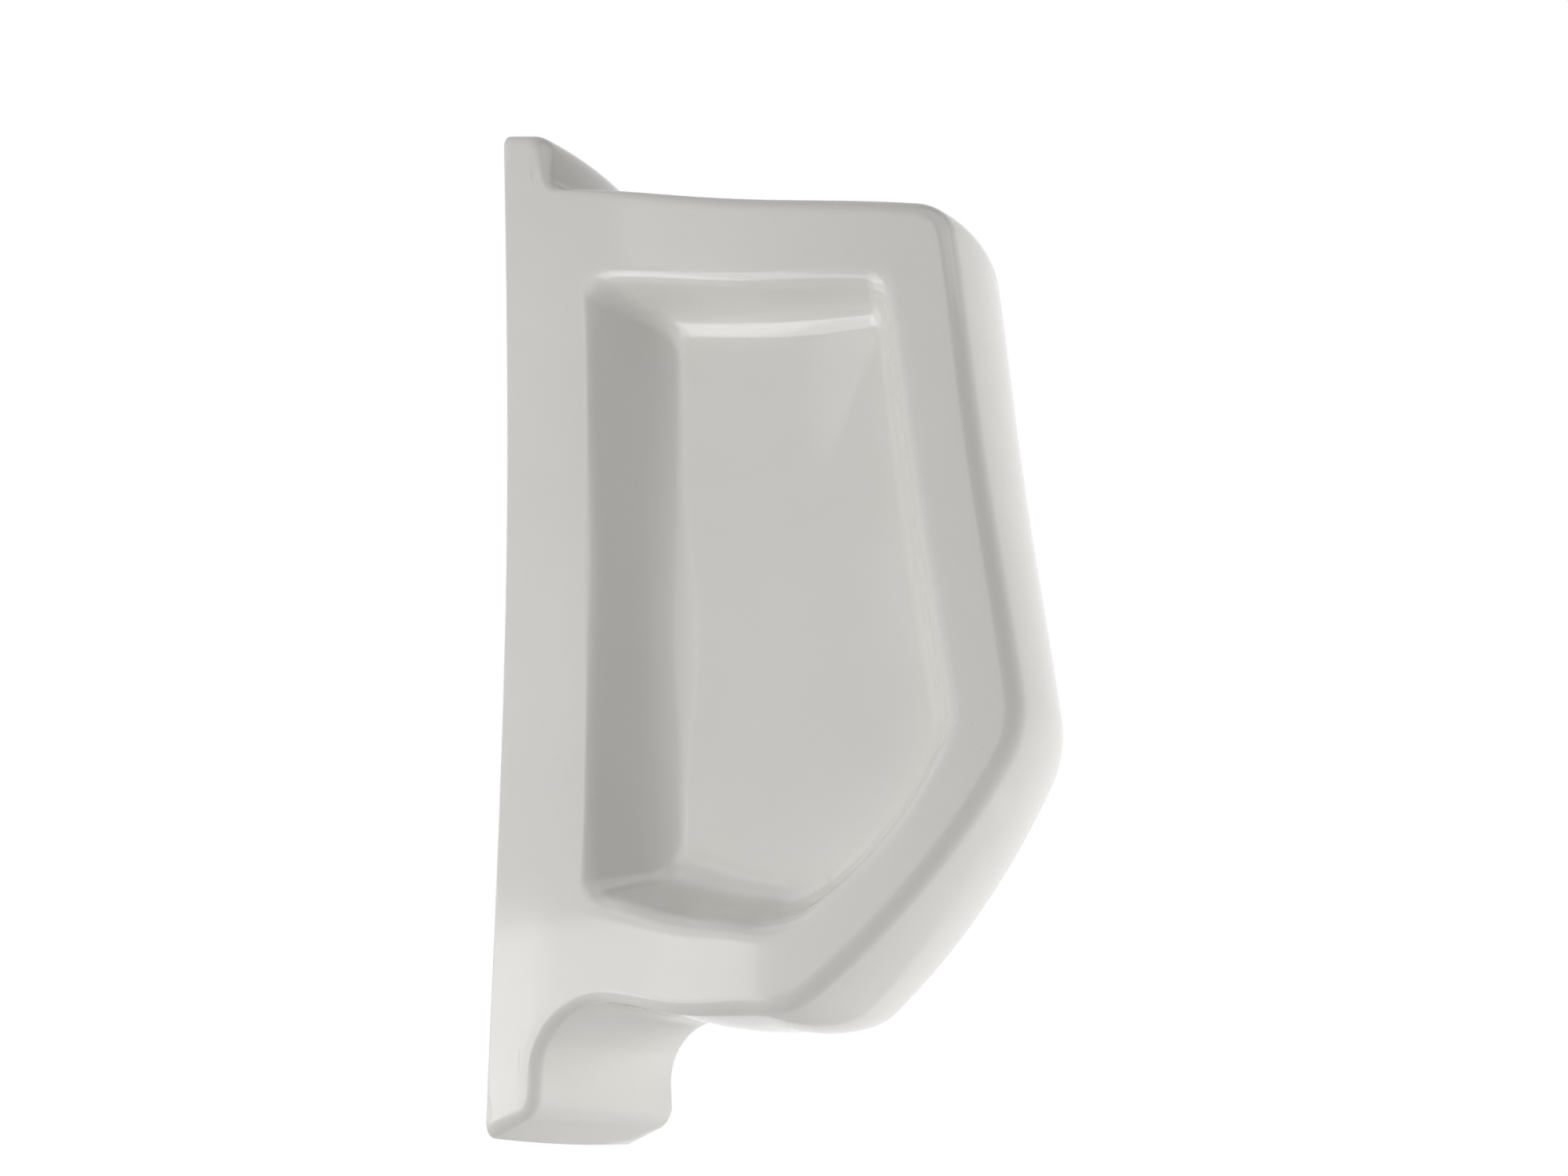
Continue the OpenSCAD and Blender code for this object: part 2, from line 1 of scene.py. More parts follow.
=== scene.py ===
"""Wall-hung privacy screen of glazed china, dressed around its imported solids.

Sizes are in millimetres: x runs out from the wall, y across the screen and z up
from the lowest edge of the foot. A mesh turns them into metres about the frame's
origin, which lies on the wall at the screw line of the hanger bracket.
"""

import sys
import logging
import math
from dataclasses import dataclass, field
from enum import Enum

import bmesh
import bpy
import numpy as np
from mathutils import Matrix, Vector


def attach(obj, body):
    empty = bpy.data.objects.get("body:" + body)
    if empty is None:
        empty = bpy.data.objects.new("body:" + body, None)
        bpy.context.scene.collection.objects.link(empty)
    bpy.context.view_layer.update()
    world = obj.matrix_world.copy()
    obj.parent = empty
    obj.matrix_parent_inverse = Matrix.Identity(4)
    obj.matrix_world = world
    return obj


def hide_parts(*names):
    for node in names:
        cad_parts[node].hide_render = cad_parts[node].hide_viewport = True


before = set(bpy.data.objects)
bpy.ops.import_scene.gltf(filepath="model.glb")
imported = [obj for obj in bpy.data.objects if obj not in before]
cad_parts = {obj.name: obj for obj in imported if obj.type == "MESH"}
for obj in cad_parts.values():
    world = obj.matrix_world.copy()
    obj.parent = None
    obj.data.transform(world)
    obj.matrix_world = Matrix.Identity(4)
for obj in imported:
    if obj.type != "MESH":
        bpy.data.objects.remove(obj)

LOG = logging.getLogger("privacy_screen")
MM = 0.001
HANGER_Z = 500.0
ROOT = "root"
SLIVER = 0.02  # edges shorter than this are closed up after a cut
MOUTH_TURN = 70.0  # how far a softened mouth turns, in degrees
MOUTH_RUN = 0.8  # how far it then runs straight on, as a share of its ease
BEYOND = 60.0  # how far the wall plane's cutter reaches past the casting
MIDDLE = (0.3, 0.7)  # where most values of a noise pattern lie
FULL = (0.0, 1.0)
Array = np.ndarray
Colour = tuple[float, float, float]
Place = tuple[float, float, float]
Span = tuple[float, float]


# ------------------------------------------------------------------ mesh making


def new_object(name: str, points: Array, faces: list[Array]) -> bpy.types.Object:
    """Make a closed mesh object at the origin from points in millimetres.

    Args:
        name: Name of the object and of its mesh.
        points: Array of shape (n, 3).
        faces: Arrays of vertex indices, one face to a row.

    Returns:
        The linked object, with smooth faces that point outwards.
    """
    placed = (points - np.array([0.0, 0.0, HANGER_Z])) * MM
    mesh = bpy.data.meshes.new(name)
    mesh.from_pydata(placed.tolist(), [], [row for block in faces for row in block.tolist()])
    work = bmesh.new()
    work.from_mesh(mesh)
    bmesh.ops.recalc_face_normals(work, faces=work.faces)
    work.to_mesh(mesh)
    work.free()
    mesh.polygons.foreach_set("use_smooth", np.ones(len(mesh.polygons), dtype=bool))
    obj = bpy.data.objects.new(name, mesh)
    bpy.context.scene.collection.objects.link(obj)
    return obj


def band(rows: int, cols: int) -> Array:
    """Index the quads of a grid of points whose columns close on themselves.

    Args:
        rows: Number of rows of points.
        cols: Number of points in each row.

    Returns:
        Array of shape ((rows - 1) * cols, 4).
    """
    i, j = np.meshgrid(np.arange(rows - 1), np.arange(cols), indexing="ij")
    k = (j + 1) % cols
    quads = np.stack([i * cols + j, (i + 1) * cols + j, (i + 1) * cols + k, i * cols + k], axis=-1)
    return quads.reshape(-1, 4)


def fan(first: int, cols: int, centre: int) -> Array:
    """Index the triangles between a closed row of points and a centre.

    Args:
        first: Index of the row's first point.
        cols: Number of points in the row.
        centre: Index of the centre.

    Returns:
        Array of shape (cols, 3).
    """
    j = np.arange(cols)
    return np.stack([first + j, first + (j + 1) % cols, np.full(cols, centre)], axis=-1)


def capped(name: str, rows: Array) -> bpy.types.Object:
    """Close a grid of rings with a fan at each end, and make it an object.

    Args:
        name: Name of the object.
        rows: Array of shape (rows, cols, 3), each row a closed ring.

    Returns:
        The new object.
    """
    count, cols = rows.shape[:2]
    points = np.concatenate([rows.reshape(-1, 3), rows[:1].mean(axis=1), rows[-1:].mean(axis=1)])
    faces = [band(count, cols), fan(0, cols, count * cols),
             fan((count - 1) * cols, cols, count * cols + 1)]
    return new_object(name, points, faces)


def carve(blank: bpy.types.Object, tools: list[bpy.types.Object], sharp: float) -> None:
    """Cut tools out of a blank for good, and delete the tools.

    Args:
        blank: The closed mesh that is cut. A tool's faces keep their slot's number.
        tools: Closed meshes that are taken away one after another.
        sharp: Faces that meet at more than this many degrees get a sharp edge.
    """
    for tool in tools:
        cut = blank.modifiers.new(tool.name, "BOOLEAN")
        cut.operation, cut.solver, cut.object = "DIFFERENCE", "MANIFOLD", tool
        cut.material_mode = "INDEX"
    depsgraph = bpy.context.evaluated_depsgraph_get()
    carved = bpy.data.meshes.new_from_object(blank.evaluated_get(depsgraph))
    blank.modifiers.clear()
    blank.data = carved
    for tool in tools:
        bpy.data.objects.remove(tool)
    work = bmesh.new()
    work.from_mesh(carved)
    bmesh.ops.dissolve_degenerate(work, edges=work.edges, dist=SLIVER * MM)
    for edge in work.edges:
        edge.smooth = edge.calc_face_angle(0.0) < math.radians(sharp)
    work.to_mesh(carved)
    work.free()


# ------------------------------------------------------------------ curves


def unit(vectors: Array) -> Array:
    """Scale the vectors in an array's last axis to length one."""
    return vectors / np.linalg.norm(vectors, axis=-1, keepdims=True)


def mix(a: Array, b: Array, share: Array | float) -> Array:
    """Blend from a, where the share is 0, to b, where it is 1."""
    return a * (1.0 - share) + b * share


def inward(a: Array, b: Array) -> Array:
    """Find the direction to the left of the way from a to b, in the side view."""
    along = unit(b[..., :2] - a[..., :2])
    return np.stack([-along[..., 1], along[..., 0]], axis=-1)


def meet(a: Array, b: Array, shift: float, p: Array, q: Array, other: float) -> Array:
    """Cross two lines of the side view that have been moved inwards.

    Each line is the set of points whose distance along its inward direction is
    that of its own points plus its shift, so two equations give the crossing.

    Args:
        a: First point of the first line.
        b: Second point of the first line.
        shift: How far the first line is moved.
        p: First point of the second line.
        q: Second point of the second line.
        other: How far the second line is moved.

    Returns:
        The crossing, of shape (2,).
    """
    n, m = inward(a, b), inward(p, q)
    return np.linalg.solve(np.array([n, m]), np.array([n @ a[:2] + shift, m @ p[:2] + other]))


def rounded(a: Array, k: Array, b: Array, spans: int) -> Array:
    """Draw circular arcs from a to b about the corners k.

    Each is the rational quadratic curve whose middle weight is the cosine of
    half its turn.

    Args:
        a: Starts, of shape (n, 2) or (n, 3).
        k: Corners, of the same shape.
        b: Ends, of the same shape.
        spans: Number of spans in each arc.

    Returns:
        Array of shape (spans + 1, n, 2 or 3).
    """
    u = np.linspace(0.0, 1.0, spans + 1)[:, None, None]
    turn = (unit(k - a) * unit(b - k)).sum(axis=-1, keepdims=True)
    weight = np.sqrt(np.clip((1.0 + turn) / 2.0, 0.0, 1.0))
    first, middle, last = (1.0 - u) ** 2, 2.0 * u * (1.0 - u) * weight, u * u
    return (first * a + middle * k + last * b) / (first + middle + last)


def inset(corners: Array, by: float) -> Array:
    """Move a closed outline inwards, and change each setback to suit.

    A corner moves along the sum of its sides' inward directions, divided by one
    plus their product, which keeps it the same distance from both sides.

    Args:
        corners: Rows of x, z, setback, edge radius and crown.
        by: How far every side moves.

    Returns:
        The moved rows.
    """
    n = inward(np.roll(corners, 1, axis=0), corners)
    m = inward(corners, np.roll(corners, -1, axis=0))
    turn = n[:, 0] * m[:, 1] - n[:, 1] * m[:, 0]
    reach = by / (1.0 + (n * m).sum(axis=1))
    moved = corners.copy()
    moved[:, :2] += reach[:, None] * (n + m)
    moved[:, 2] = np.maximum(1.0, corners[:, 2] - reach * turn)
    return moved


@dataclass(frozen=True)
class Stations:
    """How finely every outline is divided, corner by corner and side by side."""

    arcs: tuple[int, ...] = (2, 8, 20, 16, 24, 14, 16, 10, 10, 2)
    sides: tuple[int, ...] = (0, 6, 12, 2, 2, 18, 18, 2, 0, 30)
    at_foot: tuple[float, ...] = (0.05, 0.068, 0.078, 0.09, 0.102, 0.115, 0.35, 0.7)
    at_crest: tuple[float, ...] = (0.3, 0.6, 0.84, 0.858, 0.875, 0.89, 0.905, 0.94)

    def along(self, side: int) -> Array:
        """List the places of the extra points on one side.

        Args:
            side: Number of the corner that the side starts from.

        Returns:
            Shares of the way along the side, from 0 to 1.
        """
        special = {0: self.at_foot, 8: self.at_crest}
        return np.array(special.get(side, np.arange(1, self.sides[side] + 1)
                                    / (self.sides[side] + 1.0)))


def trace(corners: Array, bows: Array, stations: Stations) -> Array:
    """Draw a closed outline from its corners.

    Each corner becomes an arc that takes up its setback on both sides. Each side
    bows outwards by its bow times the squared sine of the way along it.

    Args:
        corners: Rows of x, z, setback, edge radius and crown.
        bows: How far the side after each corner bows outwards.
        stations: How finely the outline is divided.

    Returns:
        Rows of x, z, edge radius and crown.
    """
    after = np.roll(corners, -1, axis=0)
    at, back = corners[:, :2], np.roll(corners, 1, axis=0)[:, :2]
    ahead = after[:, :2]
    start = at + corners[:, 2:3] * unit(back - at)
    end = at + corners[:, 2:3] * unit(ahead - at)
    following = ahead + after[:, 2:3] * unit(at - ahead)
    rows = []
    for i, spans in enumerate(stations.arcs):
        arc = rounded(start[i][None], at[i][None], end[i][None], spans)[:, 0]
        rows.append(np.hstack([arc, np.tile(corners[i, 3:5], (len(arc), 1))]))
        over = stations.along(i)[:, None]
        bow = bows[i] * np.sin(np.pi * over) ** 2 * -inward(at[i], ahead[i])
        rows.append(np.hstack([mix(end[i], following[i], over) + bow,
                               mix(corners[i, 3:5], after[i, 3:5], over)]))
    return np.concatenate(rows)


def round_rectangle(width: float, height: float, radius: float, spans: int) -> tuple[Array, Array]:
    """Draw a rectangle with round corners about the origin.

    A point is the centre of its corner's arc plus the radius times the direction
    of its angle, and that direction is also the outward one.

    Args:
        width: Size along the first axis.
        height: Size along the second axis.
        radius: Radius of the corners.
        spans: Number of spans in each corner.

    Returns:
        The points and their outward directions, each of shape (n, 2).
    """
    quarter = np.arange(4)[:, None] * np.pi / 2.0
    angle = (quarter + np.linspace(0.0, np.pi / 2.0, spans + 1)[None]).reshape(-1)
    out = np.stack([np.cos(angle), np.sin(angle)], axis=-1)
    sign = np.repeat(np.array([[1, 1], [-1, 1], [-1, -1], [1, -1]]), spans + 1, axis=0)
    centre = sign * (np.array([width, height]) / 2.0 - radius)
    return centre + radius * out, out


def eased_bore(near: float, far: float, ease: float, spans: int = 5) -> Array:
    """Draw the profile of a cutter for a hole with softened mouths.

    Within the ease of each end, the profile flares by the ease times one minus
    the cosine of an angle that grows to the mouth's turn, and then runs straight on.

    Args:
        near: Where the hole starts along its axis.
        far: Where it ends.
        ease: Radius of the softened mouths.
        spans: Number of spans in each mouth.

    Returns:
        Rows of place along the axis and offset outwards.
    """
    angle = np.radians(np.linspace(0.0, MOUTH_TURN, spans + 1))
    along, flare = ease * np.sin(angle), ease * (1.0 - np.cos(angle))
    mouth = np.stack([ease - along, flare], axis=-1)
    ahead = np.array([[-math.cos(angle[-1]), math.sin(angle[-1])]])
    lip = np.concatenate([mouth, mouth[-1:] + MOUTH_RUN * ease * ahead])
    first = np.stack([near + lip[:, 0], lip[:, 1]], axis=-1)[::-1]
    last = np.stack([far - lip[:, 0], lip[:, 1]], axis=-1)
    return np.concatenate([first, last])


# ------------------------------------------------------------------ finishes


class Shader:
    """A material under construction, with its Object coordinates to hand."""

    def __init__(self, name: str) -> None:
        """Start an empty node material.

        Args:
            name: Name of the material.
        """
        self.material = bpy.data.materials.new(name)
        self.material.use_nodes = True
        self.tree = self.material.node_tree
        self.tree.nodes.clear()
        self.output = self.node("ShaderNodeOutputMaterial")
        self.surface = self.node("ShaderNodeBsdfPrincipled")
        self.place = self.node("ShaderNodeTexCoord").outputs["Object"]
        self.link(self.surface.outputs["BSDF"], self.output.inputs["Surface"])

    def node(self, kind: str, **settings: object) -> bpy.types.Node:
        """Add a node.

        Args:
            kind: Blender's name for the node's type.
            settings: Properties of the node to set.

        Returns:
            The new node.
        """
        made = self.tree.nodes.new(kind)
        for key, value in settings.items():
            setattr(made, key, value)
        return made

    def link(self, start: bpy.types.NodeSocket, end: bpy.types.NodeSocket) -> None:
        """Join an output to an input."""
        self.tree.links.new(start, end)

    def stretched(self, scale: Place) -> bpy.types.NodeSocket:
        """Scale the Object coordinates along each axis.

        Args:
            scale: The factor of each axis.

        Returns:
            The scaled coordinates.
        """
        mapping = self.node("ShaderNodeMapping")
        mapping.inputs["Scale"].default_value = scale
        self.link(self.place, mapping.inputs["Vector"])
        return mapping.outputs["Vector"]

    def noise(self, per_metre: float, detail: float = 3.0, rough: float = 0.5,
              place: bpy.types.NodeSocket | None = None) -> bpy.types.NodeSocket:
        """Add a noise pattern.

        Args:
            per_metre: Number of its features in a metre.
            detail: How many finer octaves are added.
            rough: How strong those are.
            place: Coordinates other than the Object ones.

        Returns:
            The pattern, from 0 to 1.
        """
        made = self.node("ShaderNodeTexNoise")
        made.inputs["Scale"].default_value = per_metre
        made.inputs["Detail"].default_value = detail
        made.inputs["Roughness"].default_value = rough
        self.link(place or self.place, made.inputs["Vector"])
        return made.outputs["Fac"]

    def cells(self, per_metre: float) -> bpy.types.NodeSocket:
        """Add a pattern of random flat cells.

        Args:
            per_metre: Number of cells in a metre.

        Returns:
            A random colour for each cell.
        """
        made = self.node("ShaderNodeTexVoronoi")
        made.inputs["Scale"].default_value = per_metre
        self.link(self.place, made.inputs["Vector"])
        return made.outputs["Color"]

    def ranged(self, value: bpy.types.NodeSocket, start: Span, end: Span) -> bpy.types.NodeSocket:
        """Map a value from one range to another, and hold it at the ends.

        Args:
            value: The value.
            start: Its lowest and highest values that matter.
            end: What these become.

        Returns:
            The mapped value.
        """
        made = self.node("ShaderNodeMapRange")
        for key, number in zip(("From Min", "From Max", "To Min", "To Max"), (*start, *end)):
            made.inputs[key].default_value = number
        self.link(value, made.inputs["Value"])
        return made.outputs["Result"]

    def blended(self, share: bpy.types.NodeSocket, a: Colour | bpy.types.NodeSocket,
                b: Colour | bpy.types.NodeSocket) -> bpy.types.NodeSocket:
        """Blend two colours.

        Args:
            share: 0 for the first colour, 1 for the second.
            a: The first colour.
            b: The second colour.

        Returns:
            The blended colour.
        """
        made = self.node("ShaderNodeMix", data_type="RGBA")
        self.link(share, made.inputs["Factor"])
        for socket, colour in ((made.inputs[6], a), (made.inputs[7], b)):
            if isinstance(colour, tuple):
                socket.default_value = (*colour, 1.0)
            else:
                self.link(colour, socket)
        return made.outputs[2]

    def colour(self, value: bpy.types.NodeSocket) -> None:
        """Give the surface a colour pattern."""
        self.link(value, self.surface.inputs["Base Color"])

    def roughness(self, value: bpy.types.NodeSocket) -> None:
        """Give the surface a roughness pattern."""
        self.link(value, self.surface.inputs["Roughness"])

    def relief(self, layers: list[tuple[bpy.types.NodeSocket, float]]) -> None:
        """Stack height patterns on the surface.

        Args:
            layers: Each pattern with its height in millimetres.
        """
        normal = None
        for height, depth in layers:
            bump = self.node("ShaderNodeBump")
            bump.inputs["Strength"].default_value = 1.0
            bump.inputs["Distance"].default_value = depth * MM
            self.link(height, bump.inputs["Height"])
            if normal is not None:
                self.link(normal, bump.inputs["Normal"])
            normal = bump.outputs["Normal"]
        self.link(normal, self.surface.inputs["Normal"])

    def plain(self, **sockets: float) -> None:
        """Set sockets of the surface that are the same all over."""
        for key, value in sockets.items():
            self.surface.inputs[key.replace("_", " ")].default_value = value


@dataclass(frozen=True)
class GlazedChina:
    """Gloss white glaze: a faint ripple, a soft mottle and a few pinholes."""

    name: str = "glazed_china"
    body: Colour = (0.79, 0.775, 0.735)
    glaze: Colour = (0.815, 0.80, 0.765)
    speck: Colour = (0.50, 0.46, 0.40)
    gloss: Span = (0.07, 0.11)
    clouds_per_m: float = 9.0
    smears_per_m: float = 38.0
    pits_per_m: float = 900.0
    pit_range: Span = (0.77, 0.81)
    ripple: Span = (16.0, 0.10)
    peel: Span = (260.0, 0.0045)
    ior: float = 1.52

    def material(self) -> bpy.types.Material:
        """Build the material.

        Returns:
            The finished material.
        """
        shader = Shader(self.name)
        cloud = shader.ranged(shader.noise(self.clouds_per_m, 2.0), MIDDLE, FULL)
        mottle = shader.blended(cloud, self.body, self.glaze)
        pits = shader.ranged(shader.noise(self.pits_per_m, 1.0), self.pit_range, (0.0, 0.7))
        shader.colour(shader.blended(pits, mottle, self.speck))
        shader.roughness(shader.ranged(shader.noise(self.smears_per_m), MIDDLE, self.gloss))
        shader.relief([(shader.noise(per_metre, 1.0), height)
                       for per_metre, height in (self.ripple, self.peel)])
        shader.plain(IOR=self.ior)
        return shader.material


@dataclass(frozen=True)
class BareChina:
    """Ground or unglazed china: dry, fine-grained, with grey rubbing marks."""

    name: str
    body: Colour
    stain: Colour
    dryness: Span
    grain: float
    patches_per_m: float = 22.0
    rubs_per_m: float = 60.0
    rub_shape: Place = (1.0, 6.0, 0.6)
    dust_per_m: float = 130.0
    grains_per_m: float = 700.0
    waves_per_m: float = 45.0

    def material(self) -> bpy.types.Material:
        """Build the material.

        Returns:
            The finished material.
        """
        shader = Shader(self.name)
        patches = shader.ranged(shader.noise(self.patches_per_m, 5.0, 0.6), (0.4, 0.75), (0.0, 0.8))
        rubs = shader.noise(self.rubs_per_m, 4.0, 0.7, shader.stretched(self.rub_shape))
        marks = shader.ranged(rubs, (0.55, 0.8), (0.0, 0.6))
        dirt = shader.blended(marks, self.body, self.stain)
        between = tuple(0.5 * (a + b) for a, b in zip(self.body, self.stain))
        shader.colour(shader.blended(patches, dirt, between))
        shader.roughness(shader.ranged(shader.noise(self.dust_per_m), MIDDLE, self.dryness))
        shader.relief([(shader.noise(self.grains_per_m, 4.0, 0.7), self.grain),
                       (shader.noise(self.waves_per_m, 2.0), 2.5 * self.grain)])
        return shader.material


@dataclass(frozen=True)
class GalvanisedSteel:
    """Pressed steel with the flaky crystals of a hot-dip zinc coat."""

    name: str = "pressed_steel"
    dull: Colour = (0.43, 0.44, 0.46)
    bright: Colour = (0.66, 0.67, 0.69)
    gloss: Span = (0.45, 0.68)
    crystals_per_m: float = 190.0
    grit: Span = (500.0, 0.006)
    dents: Span = (40.0, 0.05)

    def material(self) -> bpy.types.Material:
        """Build the material.

        Returns:
            The finished material.
        """
        shader = Shader(self.name)
        split = shader.node("ShaderNodeSeparateColor")
        shader.link(shader.cells(self.crystals_per_m), split.inputs["Color"])
        shade = shader.ranged(split.outputs["Red"], FULL, (0.1, 0.9))
        shader.colour(shader.blended(shade, self.dull, self.bright))
        shader.roughness(shader.ranged(split.outputs["Green"], FULL, self.gloss))
        shader.relief([(shader.noise(self.grit[0]), self.grit[1]),
                       (shader.noise(self.dents[0], 2.0), self.dents[1])])
        shader.plain(Metallic=1.0)
        return shader.material


@dataclass(frozen=True)
class ZincPlate:
    """Bright zinc plate with a thin, cloudy blue and yellow film."""

    name: str = "zinc_plate"
    blue: Colour = (0.62, 0.65, 0.70)
    yellow: Colour = (0.72, 0.70, 0.62)
    gloss: Span = (0.2, 0.38)
    clouds_per_m: float = 110.0
    smears_per_m: float = 400.0
    grit: Span = (900.0, 0.004)

    def material(self) -> bpy.types.Material:
        """Build the material.

        Returns:
            The finished material.
        """
        shader = Shader(self.name)
        film = shader.ranged(shader.noise(self.clouds_per_m), (0.35, 0.65), FULL)
        shader.colour(shader.blended(film, self.blue, self.yellow))
        shader.roughness(shader.ranged(shader.noise(self.smears_per_m, 4.0), MIDDLE, self.gloss))
        shader.relief([(shader.noise(self.grit[0]), self.grit[1])])
        shader.plain(Metallic=1.0)
        return shader.material


@dataclass(frozen=True)
class Rubber:
    """Black moulded rubber with a grey bloom."""

    name: str = "black_rubber"
    fresh: Colour = (0.022, 0.022, 0.024)
    bloom: Colour = (0.085, 0.085, 0.088)
    dryness: Span = (0.6, 0.85)
    dust_per_m: float = 140.0
    smears_per_m: float = 300.0
    grain: Span = (1200.0, 0.01)

    def material(self) -> bpy.types.Material:
        """Build the material.

        Returns:
            The finished material.
        """
        shader = Shader(self.name)
        dust = shader.ranged(shader.noise(self.dust_per_m, 4.0, 0.6), (0.4, 0.8), (0.0, 0.9))
        shader.colour(shader.blended(dust, self.fresh, self.bloom))
        shader.roughness(shader.ranged(shader.noise(self.smears_per_m), MIDDLE, self.dryness))
        shader.relief([(shader.noise(self.grain[0]), self.grain[1])])
        return shader.material


class Cut(Enum):
    """The slot of the casting's mesh that each kind of face belongs to."""

    GLAZED = 0
    GROUND = 1
    CAST = 2


# ------------------------------------------------------------------ the casting


@dataclass(frozen=True)
class Flange:
    """The part of the casting that stands against the wall, and its foot."""

    height: float = 653.5
    depth: float = 32.7
    fall: float = 8.5
    crest_set: float = 14.0
    waist_half: float = 71.8
    waist_z: float = 365.0
    waist_soft: float = 0.5
    flare: float = 14.0
    foot_rise: float = 12.5
    foot_height: float = 77.5
    cove: float = 45.0
    neck: float = 12.0
    shoulder_z: float = 605.5
    edge: float = 6.5
    crest_edge: float = 11.0
    corner: float = 11.5
    foot_edge: float = 7.5
    foot_corner: float = 10.0
    foot_set: float = 10.0
    foot_crown: float = 2.0
    grind: float = 4.0
    wall_set: float = 2.0
    wall_in: float = 1.0

    @property
    def cove_set(self) -> float:
        """Setback of the cove between the foot and the underside."""
        return 0.94 * self.cove

    @property
    def instep(self) -> Array:
        """Corner where the panel's underside meets the foot."""
        return np.array([self.depth, self.foot_height])

    @property
    def shoulder(self) -> Array:
        """Corner where the panel's top meets the flange."""
        return np.array([self.depth, self.shoulder_z])

    def foot_line(self, x: float) -> float:
        """Height of the foot's lower edge at a distance from the wall."""
        return self.foot_rise * x / self.depth

    def crest_line(self, x: float) -> float:
        """Height of the flange's top edge at a distance from the wall."""
        return self.height - self.fall * x / self.depth


@dataclass(frozen=True)
class Panel:
    """The panel's four outer corners, its edges and its taper."""

    brow: Span = (297.5, 539.0)
    nose: Span = (322.5, 207.0)
    heel: Span = (185.0, 58.5)
    brow_set: float = 20.0
    nose_set: float = 20.5
    heel_set: float = 18.0
    top_sag: float = 3.5
    front_sag: float = 2.0
    under_bulge: float = 3.8
    belly_bulge: float = 9.0
    belly_gap: float = 3.0
    taper: float = 31.4
    edge: float = 8.5
    top_crown: float = 7.5
    front_crown: float = 6.5

    @property
    def bows(self) -> Array:
        """How far the side after each corner of the outline bows outwards."""
        return np.array([0, 0, self.under_bulge, 0, 0, -self.front_sag, -self.top_sag, 0, 0, 0.0])


@dataclass(frozen=True)
class Recess:
    """The shallow five-cornered recess in each face of the panel."""

    floor_half: float = 30.0
    wall: float = 60.5
    top: Span = (62.5, 54.0)
    front: Span = (43.5, 39.5)
    belly: Span = (31.0, 34.0)
    under: Span = (44.0, 60.0)
    bulge: float = 8.0
    bulge_gap: float = 4.0
    slope_wall: Span = (40.0, 34.5)
    slope_top: float = 12.0
    slope_front: float = 10.0
    slope_under: float = 18.0
    floor_fillet_wall: float = 21.0
    floor_fillet_top: float = 18.0
    floor_fillet_front: float = 11.5
    floor_fillet_blend: float = 0.6
    rim_fillet: float = 7.0
    rim_fillet_top: float = 10.0
    rim_fillet_low: float = 9.0
    low_ends: Span = (0.14, 0.26)
    high_ends: Span = (0.88, 0.78)
    end_set: float = 8.0
    rim_sets: tuple[float, ...] = (12.0, 24.0, 16.0, 14.0, 18.0)
    floor_sets: tuple[float, ...] = (8.0, 16.0, 10.0, 8.0, 12.0)


@dataclass(frozen=True)
class Flank:
    """Places of the border's middle line beside the flange, clear of its coves."""

    shares: Span = (0.35, 0.58)
    ahead: float = 12.0
    above_foot: Place = (20.0, 5.0, 33.0)
    below_shoulder: Place = (25.0, 10.0, 34.0)
    end_set: float = 4.0


@dataclass(frozen=True)
class Hollow:
    """The hollow inside the panel, the one in the back, and the holes."""

    wall: float = 9.0
    back_depth: float = 5.0
    web: float = 10.0
    rim: float = 14.0
    back_corner: float = 12.0
    window_rise: float = 21.0
    window: Span = (104.0, 56.0)
    window_corner: float = 6.0
    access_d: float = 34.0
    access_x: float = 102.0
    drain_d: float = 24.0
    drain_reach: float = 90.0
    stud_z: float = 118.0
    stud_hole_d: float = 20.0
    ends: Span = (35.0, 60.0)
    end_set: float = 8.0
    corner_set: float = 12.0
    fillet: float = 6.0
    recess_skin: float = 0.6
    steps: Span = (0.7, 0.3)
    back_fillet: float = 2.5
    back_lip: tuple[Span, ...] = ((-1.5, 1.9), (-0.2, 0.85), (0.35, 0.35), (1.0, 0.08))
    stud_ease: float = 0.5
    access_ease: float = 2.2
    access_reach: float = 40.0
    access_fade: float = 8.0

    @property
    def web_x(self) -> float:
        """Distance of the web's front from the wall."""
        return self.back_depth + self.web


@dataclass(frozen=True)
class Spans:
    """How finely each part of a section is divided."""

    floor: int = 10
    slope: int = 4
    rim: int = 9
    border: tuple[float, ...] = (0.25, 0.5, 0.75, 1.0)
    verge: tuple[float, ...] = (0.2, 0.4, 0.6, 0.7, 0.725, 0.75, 0.775, 0.8, 0.88, 1.0)
    edge: int = 12
    crown: int = 10


